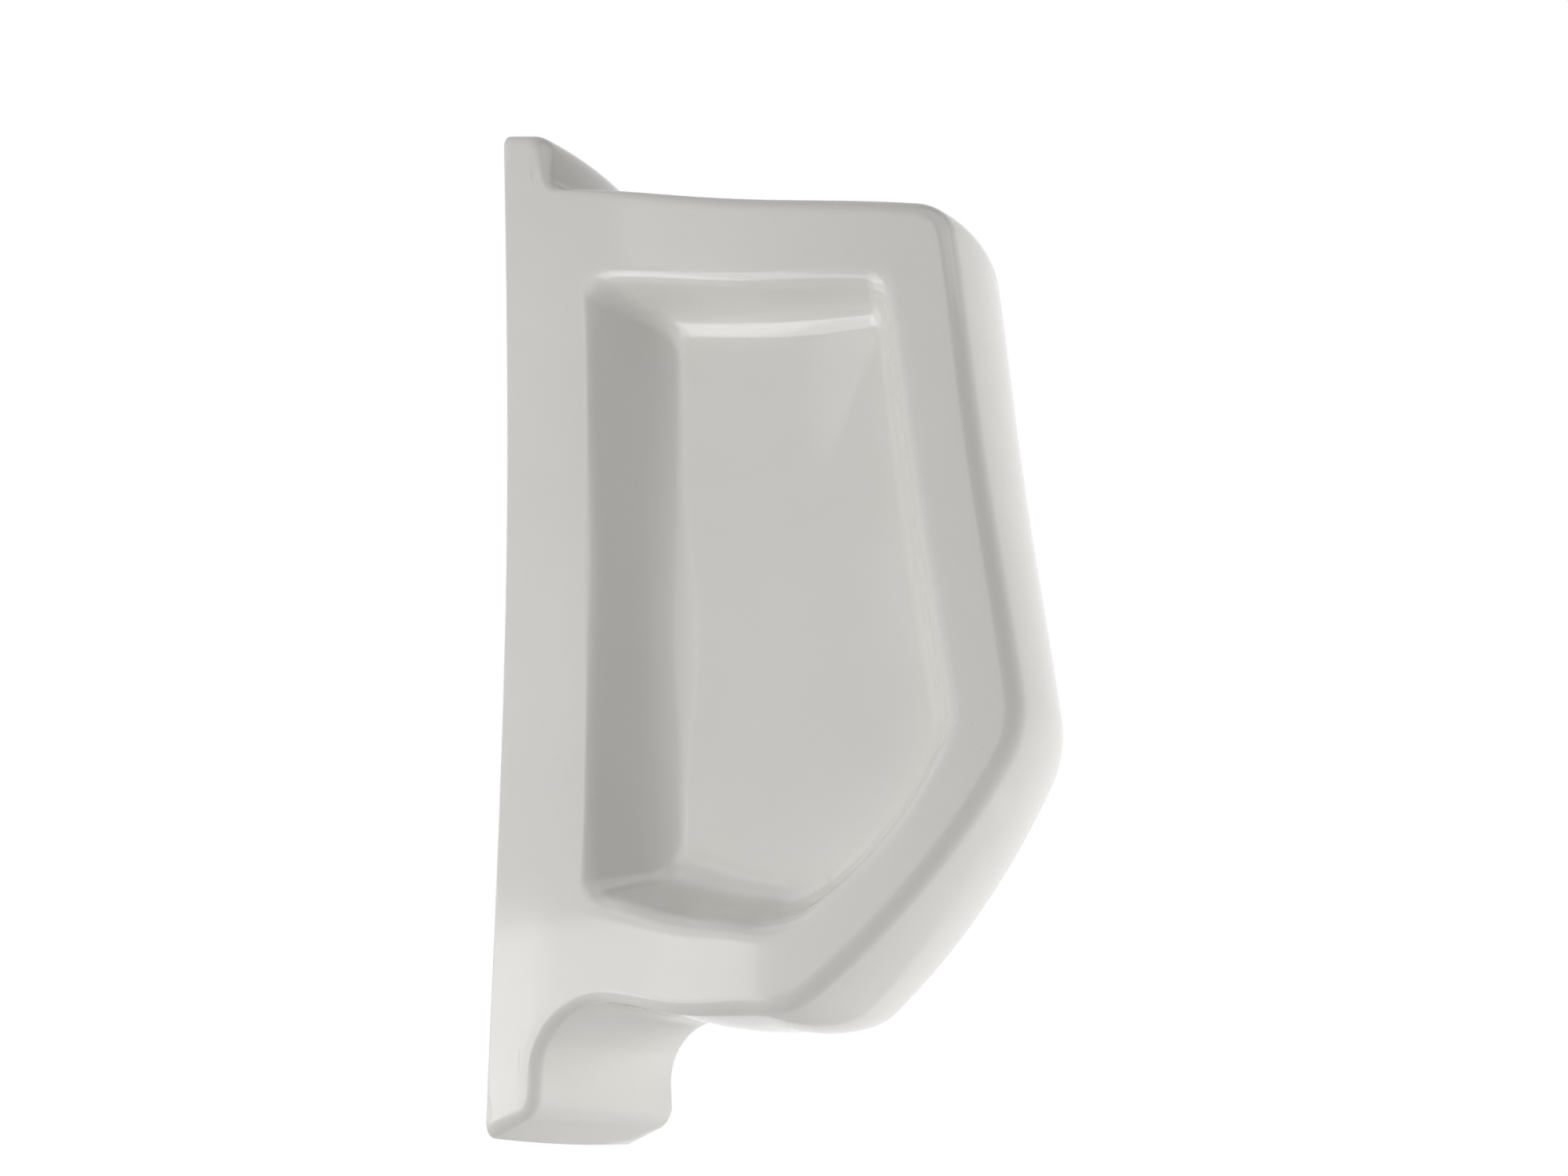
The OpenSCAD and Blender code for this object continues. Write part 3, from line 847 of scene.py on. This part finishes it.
@dataclass
class ChinaScreen:
    """The whole casting: a section carried round the outline of the side view.

    Each section runs from the recess floor up its slope, over the rim, across
    the border and round the edge to the middle of the edge face, and is then
    mirrored. Blanks for the outside and for the hollow are made so, and the
    wall plane, the back hollow and the holes are cut afterwards.
    """

    flange: Flange = field(default_factory=Flange)
    panel: Panel = field(default_factory=Panel)
    recess: Recess = field(default_factory=Recess)
    flank: Flank = field(default_factory=Flank)
    hollow: Hollow = field(default_factory=Hollow)
    stations: Stations = field(default_factory=Stations)
    spans: Spans = field(default_factory=Spans)
    edge_in: float = 12.5
    room: float = 0.92
    floor_room: float = 0.55
    rim_room: float = 0.4
    ease: float = 1.3
    ease_limit: float = 1.3
    mouth: float = 1.6
    sharp: float = 38.0
    bow_shares: tuple[float, ...] = (0.4, 0.8, 0.9, 1.0, 1.0)

    def half(self, plane: Array) -> Array:
        """Find half of the china's thickness at places in the side view.

        It is the waist's half, plus a flare that grows away from the waist's
        height and fades with the distance from the wall, less a taper with the
        square of that distance.

        Args:
            plane: Array whose last axis starts with x and z.

        Returns:
            The half thickness at each place.
        """
        f = plane[..., 0] / self.panel.nose[0]
        g = (plane[..., 1] - self.flange.waist_z) / self.flange.waist_z
        soft = self.flange.waist_soft
        spread = (np.hypot(g, soft) - soft) / (math.hypot(1.0, soft) - soft)
        return self.flange.waist_half + self.flange.flare * spread * (1.0 - f) \
            - self.panel.taper * f * f

    def outline(self) -> Array:
        """List the corners of the outline: x, z, setback, edge radius and crown.

        The long arc between heel and nose stands about half as far off its chord
        as its own corner does, so that corner is put twice as far out.

        Returns:
            Array of shape (10, 5).
        """
        fl, pa = self.flange, self.panel
        heel, nose = np.array(pa.heel), np.array(pa.nose)
        belly = (heel + nose) / 2.0 - 2.0 * pa.belly_bulge * inward(heel, nose)
        belly_set = float(np.linalg.norm(belly - nose)) - pa.nose_set - pa.belly_gap
        front, top = (pa.edge, pa.front_crown), (fl.edge, pa.top_crown)
        return np.array([
            [-fl.grind, fl.foot_line(-fl.grind), fl.wall_set, fl.foot_corner, fl.foot_crown],
            [fl.depth, fl.foot_rise, fl.foot_set, fl.foot_edge, 0.0],
            [*fl.instep, fl.cove_set, fl.foot_edge, 0.0],
            [*heel, pa.heel_set, *front],
            [*belly, belly_set, *front],
            [*nose, pa.nose_set, *front],
            [*pa.brow, pa.brow_set, *front],
            [*fl.shoulder, fl.neck, *top],
            [fl.depth, fl.crest_line(fl.depth), fl.crest_set, fl.crest_edge, pa.top_crown],
            [-fl.grind, fl.crest_line(-fl.grind), fl.wall_set, fl.corner, pa.top_crown],
        ])

    def pocket(self, slopes: tuple[float, ...], sets: tuple[float, ...],
               fillets: tuple[float, ...]) -> Array:
        """List the corners of a line round the recess.

        Each corner is where two borders' inner lines cross. The wall side has
        two more corners at each end.

        Args:
            slopes: How far the line lies inside the rim, at the wall side's foot
                and top, at the top, along the front and at the bottom.
            sets: Setbacks of the corners at low, toe, tip, top and high.
            fillets: Reach of the rounding at those corners and on the wall side.

        Returns:
            Array of shape (10, 5).
        """
        rc, fl = self.recess, self.flange
        in_low, in_high, in_top, in_front, in_under = slopes
        heel, nose, brow = (np.array(p) for p in (self.panel.heel, self.panel.nose,
                                                  self.panel.brow))
        side, side_up = np.array([rc.wall, 0.0]), np.array([rc.wall, 1.0])
        low = meet(side_up, side, in_low, fl.instep, heel, rc.under[1] + in_under)
        toe = meet(fl.instep, heel, rc.under[0] + in_under, heel, nose, rc.belly[1] + in_front)
        tip = meet(heel, nose, rc.belly[0] + in_front, nose, brow, rc.front[1] + in_front)
        top = meet(nose, brow, rc.front[0] + in_front, brow, fl.shoulder, rc.top[1] + in_top)
        high = meet(brow, fl.shoulder, rc.top[0] + in_top, side_up, side, in_high)
        bulge = (toe + tip) / 2.0 - 2.0 * rc.bulge * inward(toe, tip)
        bulge_set = float(np.linalg.norm(bulge - tip)) - max(sets[1], sets[2]) - rc.bulge_gap
        lows = [mix(low, high, share) for share in rc.low_ends]
        highs = [mix(low, high, share) for share in rc.high_ends]
        return np.array([
            [*lows[1], rc.end_set, fillets[5], 0.0], [*lows[0], rc.end_set, fillets[5], 0.0],
            [*low, sets[0], fillets[0], 0.0], [*toe, sets[1], fillets[1], 0.0],
            [*bulge, bulge_set, fillets[2], 0.0], [*tip, sets[2], fillets[2], 0.0],
            [*top, sets[3], fillets[3], 0.0], [*high, sets[4], fillets[4], 0.0],
            [*highs[0], rc.end_set, fillets[5], 0.0], [*highs[1], rc.end_set, fillets[5], 0.0],
        ])

    def rim(self) -> Array:
        """List the corners of the recess's rim.

        Returns:
            Array of shape (10, 5).
        """
        rc = self.recess
        low, top = rc.rim_fillet_low, rc.rim_fillet_top
        return self.pocket((0.0,) * 5, rc.rim_sets,
                           (low, low, rc.rim_fillet, top, top, rc.rim_fillet))

    def floor(self) -> Array:
        """List the corners of the recess's floor.

        Returns:
            Array of shape (10, 5).
        """
        rc = self.recess
        wall, front = rc.floor_fillet_wall, rc.floor_fillet_front
        between = mix(wall, front, rc.floor_fillet_blend)
        return self.pocket((rc.slope_wall[1], rc.slope_wall[0], rc.slope_top, rc.slope_front,
                            rc.slope_under), rc.floor_sets,
                           (wall, between, front, rc.floor_fillet_top, wall, wall))

    def edge_line(self, outline: Array) -> Array:
        """Move the outline in past the rounding of its edges, but not at the wall.

        Args:
            outline: The outline's corners.

        Returns:
            Array of shape (10, 5).
        """
        line = inset(outline, self.edge_in)
        line[:, 3:] = 0.0
        line[[0, -1], 0] = self.flange.wall_in - self.flange.grind
        line[[0, -1], 2] = self.flange.wall_in
        return line

    def border(self, line: Array, rim: Array) -> Array:
        """Draw a line across the border, halfway between the edge and the rim.

        Beside the flange it keeps clear of the coves, where it has own places.

        Args:
            line: The corners of the edge line.
            rim: The corners of the rim.

        Returns:
            Array of shape (10, 5).
        """
        fl, side = self.flange, self.flank
        middle = np.hstack([mix(line[:, :3], rim[:, :3], 0.5), np.zeros((len(line), 2))])
        out = np.array([*(share * fl.depth for share in side.shares), fl.depth + side.ahead])
        foot, crest = [0, 1, 2], [9, 8, 7]
        middle[foot, 0] = middle[crest, 0] = out
        middle[foot, 1] = fl.foot_height + np.array(side.above_foot)
        middle[crest, 1] = fl.shoulder_z - np.array(side.below_shoulder)
        middle[[0, 1, 8, 9], 2] = side.end_set
        return middle

    def section(self, rings: list[Array], skin: float, fillets: float | None,
                spans: Spans) -> Array:
        """Work out half of every section, from the floor to the middle of the edge.

        A place of the side view lies on the china's face at minus the half
        thickness, and on the recess floor at a fixed depth. The edge face is
        crowned by a parabola across the thickness.

        Args:
            rings: Floor, rim, border, edge line and edge as traced outlines.
            skin: How far the surface lies inside the china's outer face.
            fillets: Reach at the floor and the edge, where it isn't the rings' own.
            spans: How finely the section is divided.

        Returns:
            Array of shape (rows, points, 3).
        """
        floor, rim, border, line, edge = rings
        depth = skin - self.recess.floor_half

        def on_face(plane: Array) -> Array:
            """Lift places of the side view to the face."""
            return np.stack([plane[..., 0], skin - self.half(plane), plane[..., 1]], axis=-1)

        def on_floor(plane: Array) -> Array:
            """Lift places of the side view to the floor."""
            return np.stack([plane[..., 0], np.full(plane.shape[:-1], depth), plane[..., 1]],
                            axis=-1)

        def across(a: Array, b: Array, shares: Array) -> Array:
            """Lift places between two lines of the side view to the face."""
            return on_face(mix(a[None], b[None], np.asarray(shares)[:, None, None]))

        middle = np.broadcast_to(floor[:, :2].mean(axis=0), floor[:, :2].shape)
        foot, lip = on_floor(floor[:, :2]), on_face(rim[:, :2])
        way, length = unit(lip - foot), np.linalg.norm(lip - foot, axis=1)
        reach = floor[:, 2] if fillets is None else np.full(len(floor), fillets)
        reach = np.minimum(reach, self.floor_room * length)[:, None]
        rise = foot + reach * way
        low = rounded(foot + reach * unit(on_floor(middle) - foot), foot, rise, spans.floor)

        step = border[:, :2] - rim[:, :2]
        reach = np.minimum(np.minimum(rim[:, 2], self.rim_room * length),
                           self.room * np.linalg.norm(step, axis=1))[:, None]
        past = rim[:, :2] + reach * unit(step)
        top = lip - reach * way
        shares = np.arange(1, spans.slope)[:, None, None] / spans.slope
        slope = mix(rise[None], top[None], shares)
        over = rounded(top, lip, on_face(past), spans.rim)

        step = line[:, :2] - edge[:, :2]
        reach = edge[:, 2] if fillets is None else np.full(len(edge), fillets)
        reach = np.minimum(reach, self.room * np.linalg.norm(step, axis=1))[:, None]
        verge = edge[:, :2] + reach * unit(step)
        brink = on_face(edge[:, :2])
        out = -inward(np.roll(edge, 1, axis=0), np.roll(edge, -1, axis=0))

        def on_edge(y: Array) -> Array:
            """Lift places across the thickness to the crowned edge face.

            Args:
                y: Places across the thickness, one for each point of the edge.

            Returns:
                Their points in space.
            """
            lift = (edge[:, 3] * (1.0 - (y / brink[:, 1]) ** 2))[..., None] * out
            plane = edge[:, :2] + lift
            return np.stack([plane[..., 0], y, plane[..., 1]], axis=-1)

        turn = brink[:, 1] + reach[:, 0]
        corner = rounded(on_face(verge), brink, on_edge(turn), spans.edge)
        shares = 1.0 - np.arange(1, spans.crown + 1)[:, None] / spans.crown
        return np.concatenate([
            low, slope, over,
            across(past, border[:, :2], spans.border),
            across(border[:, :2], line[:, :2], spans.verge),
            corner, on_edge(shares * turn[None]),
        ])

    def softened(self, rows: Array) -> Array:
        """Ease the glaze's edge over just before the wall.

        A point within the ease of the wall moves inwards, against the part of
        its normal that runs along the wall, by half the ease times the square
        of how near it is.

        Args:
            rows: Grid of the whole surface, of shape (rows, points, 3).

        Returns:
            The moved grid.
        """
        along = np.roll(rows, -1, axis=1) - np.roll(rows, 1, axis=1)
        normal = np.cross(np.gradient(rows, axis=0), along)
        normal[..., 0] = 0.0
        normal /= np.maximum(np.linalg.norm(normal, axis=-1, keepdims=True), 1e-9)
        centre = np.array([0.0, 0.0, self.flange.height / 2.0])
        side = np.sign((normal * (rows - centre)).sum(axis=-1, keepdims=True))
        near = np.clip(1.0 - rows[..., :1] / self.ease, 0.0, self.ease_limit)
        return rows - 0.5 * self.ease * near ** 2 * side * normal

    def shell(self, name: str, corners: list[Array], skin: float,
              fillets: float | None, stations: Stations,
              spans: Spans) -> bpy.types.Object:
        """Make a closed blank from five lists of corners.

        Args:
            name: Name of the blank.
            corners: Floor, rim, border, edge line and edge.
            skin: How far the surface lies inside the china's outer face.
            fillets: Reach at the floor and the edge, where it isn't the rings' own.
            stations: How finely the outline is divided.
            spans: How finely the section is divided.

        Returns:
            The blank.
        """
        rings = [trace(line, share * self.panel.bows, stations)
                 for line, share in zip(corners, self.bow_shares)]
        near = self.section(rings, skin, fillets, spans)
        far = near[-2::-1] * np.array([1.0, -1.0, 1.0])
        rows = np.concatenate([near, far])
        return capped(name, self.softened(rows) if skin == 0.0 else rows)

    def hollow_corners(self, outline: Array) -> list[Array]:
        """List the corner lines of the hollow inside the panel.

        It follows the panel's edges and the recess, and leaves the foot and the
        flange's top solid.

        Args:
            outline: The outline's corners.

        Returns:
            Floor, rim, border, edge line and edge.
        """
        ho, fl = self.hollow, self.flange
        inner = inset(outline, ho.wall)
        heel, brow = np.array(self.panel.heel), np.array(self.panel.brow)
        side, side_up = np.array([ho.web_x, 0.0]), np.array([ho.web_x, 1.0])
        low = meet(side_up, side, 0.0, fl.instep, heel, ho.wall)[1]
        high = meet(side_up, side, 0.0, brow, fl.shoulder, ho.wall)[1]
        near, far = ho.ends
        flat = (0.0, 0.0)
        edge = np.array([
            [ho.web_x, low + far, ho.end_set, *flat], [ho.web_x, low + near, ho.end_set, *flat],
            [ho.web_x, low, ho.corner_set, *flat], *inner[3:7],
            [ho.web_x, high, ho.corner_set, *flat], [ho.web_x, high - near, ho.end_set, *flat],
            [ho.web_x, high - far, ho.end_set, *flat],
        ])
        skin = ho.recess_skin * ho.wall
        rim, floor = inset(self.rim(), -skin), inset(self.floor(), -skin)
        rim[:, 3:] = ho.fillet, 0.0
        return [floor, rim, *(mix(edge, rim, step) for step in ho.steps), edge]

    def wall_cutter(self, name: str, width: float, span: Span, radius: float, profile: Array,
                    cut: Cut, spans: int = 8) -> bpy.types.Object:
        """Make a cutter that runs out from the wall.

        A round rectangle is carried along x, and every point moves along its
        outward direction by the profile's offset.

        Args:
            name: Name of the cutter.
            width: Width of the hole.
            span: Lowest and highest place of the hole.
            radius: Radius of its corners.
            profile: Rows of x and offset.
            cut: What kind of face it leaves.
            spans: Number of spans in each corner.

        Returns:
            The cutter.
        """
        path, out = round_rectangle(width, span[1] - span[0], radius, spans)
        ring = path[None] + profile[:, 1:2, None] * out[None]
        x = np.broadcast_to(profile[:, 0, None], ring.shape[:2])
        rows = np.stack([x, ring[..., 0], ring[..., 1] + (span[0] + span[1]) / 2.0], axis=-1)
        return self.marked(capped(name, rows), cut)

    def marked(self, tool: bpy.types.Object, cut: Cut) -> bpy.types.Object:
        """Give every face of a cutter the slot of the faces that it leaves.

        Args:
            tool: The cutter.
            cut: What kind of face it leaves.

        Returns:
            The same cutter.
        """
        count = len(tool.data.polygons)
        for _ in Cut:
            tool.data.materials.append(None)
        tool.data.polygons.foreach_set("material_index", np.full(count, cut.value, dtype=np.int32))
        return tool

    def cutters(self) -> list[bpy.types.Object]:
        """Make the cutters for the wall plane, the back and every hole.

        Returns:
            The cutters, in the order in which they are used.
        """
        ho, fl = self.hollow, self.flange
        low = ho.rim + fl.foot_crown
        wide = 2.0 * (fl.waist_half + 3.0 * fl.flare)
        plane = np.array([[-BEYOND / 2.0, 0.0], [0.0, 0.0]])
        turn = np.linspace(0.0, math.pi / 2.0, 7)[:, None]
        well = ho.back_fillet * np.hstack([np.sin(turn), np.cos(turn)])
        well += np.array([ho.back_depth - ho.back_fillet, -ho.back_fillet])
        web = eased_bore(ho.back_depth, ho.web_x, self.mouth)
        middle = (ho.stud_z + HANGER_Z) / 2.0
        holes = [("stud_hole", ho.stud_z, ho.stud_hole_d, ho.stud_ease),
                 ("drain_low", middle - ho.drain_reach, ho.drain_d, self.mouth),
                 ("drain_high", middle + ho.drain_reach, ho.drain_d, self.mouth)]
        window_top = HANGER_Z + ho.window_rise
        tools = [
            self.wall_cutter("ground", wide, (-BEYOND, fl.height + BEYOND), 5.0, plane,
                             Cut.GROUND),
            self.wall_cutter("back", 2.0 * (fl.waist_half - ho.rim), (low, fl.height - low),
                             ho.back_corner, np.concatenate([ho.back_lip, well]), Cut.CAST, 12),
            self.wall_cutter("window", ho.window[0], (window_top - ho.window[1], window_top),
                             ho.window_corner, web, Cut.CAST),
        ]
        for name, z, across, ease in holes:
            bore = eased_bore(ho.back_depth, ho.web_x, ease)
            tools.append(self.wall_cutter(name, across, (z - across / 2.0, z + across / 2.0),
                                          across / 2.0, bore, Cut.CAST, 14))
        tools.append(self.access_cutter())
        return tools

    def access_cutter(self) -> bpy.types.Object:
        """Make the cutter for the access hole in the panel's underside.

        A circle is carried up, and its lower mouth is sheared so that it lies
        along the underside.

        Returns:
            The cutter.
        """
        ho, fl, heel = self.hollow, self.flange, self.panel.heel
        share = (ho.access_x - fl.depth) / (heel[0] - fl.depth)
        crown = share * self.panel.front_crown
        under = float(mix(fl.foot_height, heel[1], share)) - crown \
            - self.panel.under_bulge * math.sin(math.pi * share) ** 2
        fall = (heel[1] - fl.foot_height) / (heel[0] - fl.depth)
        path, out = round_rectangle(ho.access_d, ho.access_d, ho.access_d / 2.0, 16)
        bore = eased_bore(under, under + ho.access_reach, ho.access_ease)
        bore[len(bore) // 2:, 1] = 0.0
        ring = path[None] + bore[:, 1:2, None] * out[None]
        tilt = np.clip(1.0 - (bore[:, 0] - under) / ho.access_fade, 0.0, 1.0)[:, None] * fall
        z = bore[:, :1] + tilt * ring[..., 0]
        rows = np.stack([ring[..., 0] + ho.access_x, ring[..., 1], z], axis=-1)
        return self.marked(capped("access", rows), Cut.CAST)

    def build(self) -> bpy.types.Object:
        """Make the casting, dress it and put it in the place of its solid.

        Returns:
            The finished piece.
        """
        outline = self.outline()
        line, rim = self.edge_line(outline), self.rim()
        corners = [self.floor(), rim, self.border(line, rim), line, outline]
        body = self.shell("china_screen", corners, 0.0, None, self.stations, self.spans)
        coarse = Spans(floor=4, slope=3, rim=4, border=(0.5, 1.0), verge=(0.5, 1.0), edge=4,
                       crown=4)
        few = Stations(arcs=(1, 4, 8, 8, 12, 8, 8, 6, 6, 1), sides=(0, 2, 5, 0, 0, 8, 8, 0, 0, 12),
                       at_foot=(0.5,), at_crest=(0.5,))
        inside = self.shell("hollow", self.hollow_corners(outline), self.hollow.wall,
                            self.hollow.fillet, few, coarse)
        for _ in Cut:
            body.data.materials.append(None)
        carve(body, [self.marked(inside, Cut.CAST), *self.cutters()], self.sharp)
        finishes = [
            GlazedChina(),
            BareChina("ground_china", (0.70, 0.67, 0.61), (0.46, 0.44, 0.41), (0.75, 0.95), 0.03),
            BareChina("cast_china", (0.74, 0.72, 0.67), (0.60, 0.57, 0.51), (0.5, 0.75), 0.015),
        ]
        body.data.materials.clear()
        for finish in finishes:
            body.data.materials.append(finish.material())
        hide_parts("screen_body")
        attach(body, ROOT)
        return body


# ------------------------------------------------------------------ fixings


@dataclass
class Fixings:
    """The steel, zinc and rubber pieces behind the flange, which keep their shapes."""

    steel: GalvanisedSteel = field(default_factory=GalvanisedSteel)
    zinc: ZincPlate = field(default_factory=ZincPlate)
    rubber: Rubber = field(default_factory=Rubber)

    def dress(self) -> list[str]:
        """Give each carried-over piece its finish.

        Returns:
            The names of the dressed nodes.
        """
        steel, zinc, rubber = (f.material() for f in (self.steel, self.zinc, self.rubber))
        finishes = {
            "hanger_bracket": steel, "lower_plate": steel, "hook_liner": rubber,
            "stud_bush": rubber, "lower_stud": zinc, "stud_washer": zinc, "wing_nut": zinc,
        }
        for node, finish in finishes.items():
            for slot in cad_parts[node].material_slots:
                slot.material = finish
        return list(finishes)


# ------------------------------------------------------------------ the studio


def seen_share(tree: bpy.types.NodeTree) -> bpy.types.NodeSocket:
    """Tell the rays that show a surface from those that light another one.

    Args:
        tree: The node tree that the nodes are made in.

    Returns:
        A socket that is 1 for a ray of the camera, a reflection or glass, else 0.
    """
    path = tree.nodes.new("ShaderNodeLightPath")
    share = path.outputs["Is Camera Ray"]
    for ray in ("Is Glossy Ray", "Is Transmission Ray"):
        either = tree.nodes.new("ShaderNodeMath")
        either.operation = "MAXIMUM"
        tree.links.new(share, either.inputs[0])
        tree.links.new(path.outputs[ray], either.inputs[1])
        share = either.outputs[0]
    return share


@dataclass(frozen=True)
class Lamp:
    """A soft square lamp that points at the screen, and may stay out of reflections."""

    name: str
    place: Place
    size: float
    watts: float
    mirrored: bool = True

    def hang(self, target: Vector) -> None:
        """Put the lamp in the scene.

        Args:
            target: The point that it faces, in metres.
        """
        data = bpy.data.lights.new(self.name, "AREA")
        data.shape, data.size, data.energy = "SQUARE", self.size, self.watts
        lamp = bpy.data.objects.new(self.name, data)
        lamp.location = self.place
        lamp.rotation_euler = (target - Vector(self.place)).to_track_quat("-Z", "Y").to_euler()
        lamp.visible_camera = False
        lamp.visible_glossy = self.mirrored
        bpy.context.scene.collection.objects.link(lamp)


@dataclass
class Studio:
    """White surroundings, soft lamps, a pale floor and the photograph's camera."""

    target: Place = (0.16, 0.0, -0.17)
    lamps: tuple[Lamp, ...] = (
        Lamp("low_side", (1.6, 0.85, -0.85), 1.6, 40.0, False),
        Lamp("rear_left", (-0.6, 1.8, -0.3), 1.0, 2.5, False),
        Lamp("below", (0.0, 0.35, -0.93), 0.7, 2.0, False),
        Lamp("low_left", (-1.15, -1.05, -0.65), 1.5, 9.6),
        Lamp("front_low", (-0.6, -1.5, -0.5), 1.0, 8.0),
        Lamp("under_left", (-0.1, -0.8, -0.93), 0.8, 1.2, False),
        Lamp("high_front", (1.1, -0.55, 1.15), 1.2, 4.6),
        Lamp("high_left", (-0.8, -0.55, 1.15), 1.2, 2.3),
        Lamp("front_left", (0.1, -1.7, 0.3), 1.2, 4.2),
    )
    ambient: float = 0.02
    floor_z: float = -0.95
    floor_size: float = 2.5
    floor_glow: float = 0.4
    floor_clouds_per_m: float = 1.5
    eye: Place = (0.66486, -1.07726, -0.55274)
    yaw: float = 0.43858
    pitch: float = 0.30923
    roll: float = -0.03167
    focal_px: float = 2544.96
    image_px: int = 2000

    def camera(self) -> None:
        """Place the camera that was fitted to the photograph.

        Its level right-hand direction follows the yaw and its line of sight the
        pitch, and both are then rolled about that line.
        """
        right = Vector((math.cos(self.yaw), math.sin(self.yaw), 0.0))
        ahead = Vector((-math.sin(self.yaw) * math.cos(self.pitch),
                        math.cos(self.yaw) * math.cos(self.pitch), math.sin(self.pitch)))
        up = right.cross(ahead)
        turned = right * math.cos(self.roll) + up * math.sin(self.roll)
        risen = up * math.cos(self.roll) - right * math.sin(self.roll)
        data = bpy.data.cameras.new("camera")
        data.sensor_width = 36.0
        data.lens = self.focal_px / self.image_px * data.sensor_width
        data.clip_start, data.clip_end = 0.01, 100.0
        camera = bpy.data.objects.new("camera", data)
        axes = Matrix((turned, risen, -ahead)).transposed().to_4x4()
        camera.matrix_world = Matrix.Translation(self.eye) @ axes
        bpy.context.scene.collection.objects.link(camera)
        bpy.context.scene.camera = camera

    def surroundings(self) -> None:
        """Make a world that looks white and lights the scene only a little."""
        world = bpy.data.worlds.new("studio")
        world.use_nodes = True
        tree = world.node_tree
        tree.nodes.clear()
        output = tree.nodes.new("ShaderNodeOutputWorld")
        seen, cast = (tree.nodes.new("ShaderNodeBackground") for _ in range(2))
        seen.inputs["Strength"].default_value = 1.0
        cast.inputs["Strength"].default_value = self.ambient
        for background in (seen, cast):
            background.inputs["Color"].default_value = (1.0, 1.0, 1.0, 1.0)
        blend = tree.nodes.new("ShaderNodeMixShader")
        tree.links.new(seen_share(tree), blend.inputs[0])
        tree.links.new(cast.outputs[0], blend.inputs[1])
        tree.links.new(seen.outputs[0], blend.inputs[2])
        tree.links.new(blend.outputs[0], output.inputs["Surface"])
        bpy.context.scene.world = world

    def floor(self) -> None:
        """It looks a little brighter than the lamps make it, also in reflections,
        and its shadows stay.
        """
        reach = self.floor_size / 2.0
        mesh = bpy.data.meshes.new("floor")
        corners = [(-reach, -reach), (reach, -reach), (reach, reach), (-reach, reach)]
        mesh.from_pydata([(x, y, self.floor_z) for x, y in corners], [], [(0, 1, 2, 3)])
        floor = bpy.data.objects.new("floor", mesh)
        bpy.context.scene.collection.objects.link(floor)
        shader = Shader("floor")
        shade = shader.ranged(shader.noise(self.floor_clouds_per_m), MIDDLE, FULL)
        shader.colour(shader.blended(shade, (0.88, 0.88, 0.88), (0.92, 0.92, 0.92)))
        shader.plain(Roughness=0.9, Specular_IOR_Level=0.0)
        shader.surface.inputs["Emission Color"].default_value = (1.0, 1.0, 1.0, 1.0)
        glow = shader.node("ShaderNodeMath", operation="MULTIPLY")
        shader.link(seen_share(shader.material.node_tree), glow.inputs[0])
        glow.inputs[1].default_value = self.floor_glow
        shader.link(glow.outputs[0], shader.surface.inputs["Emission Strength"])
        mesh.materials.append(shader.material)

    def set_up(self) -> None:
        """Put the camera, the world, the floor and the lamps in the scene."""
        view = bpy.context.scene.view_settings
        view.view_transform = "Standard"
        self.camera()
        self.surroundings()
        self.floor()
        for lamp in self.lamps:
            lamp.hang(Vector(self.target))


# ------------------------------------------------------------------ the scene


def main() -> None:
    logging.basicConfig(level=logging.INFO, format="%(name)s: %(message)s", stream=sys.stdout)
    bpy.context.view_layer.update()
    Studio().set_up()
    screen = ChinaScreen().build()
    LOG.info("%s: %d faces", screen.name, len(screen.data.polygons))
    for node in Fixings().dress():
        LOG.info("%s: dressed", node)


if __name__ == "__main__":
    main()
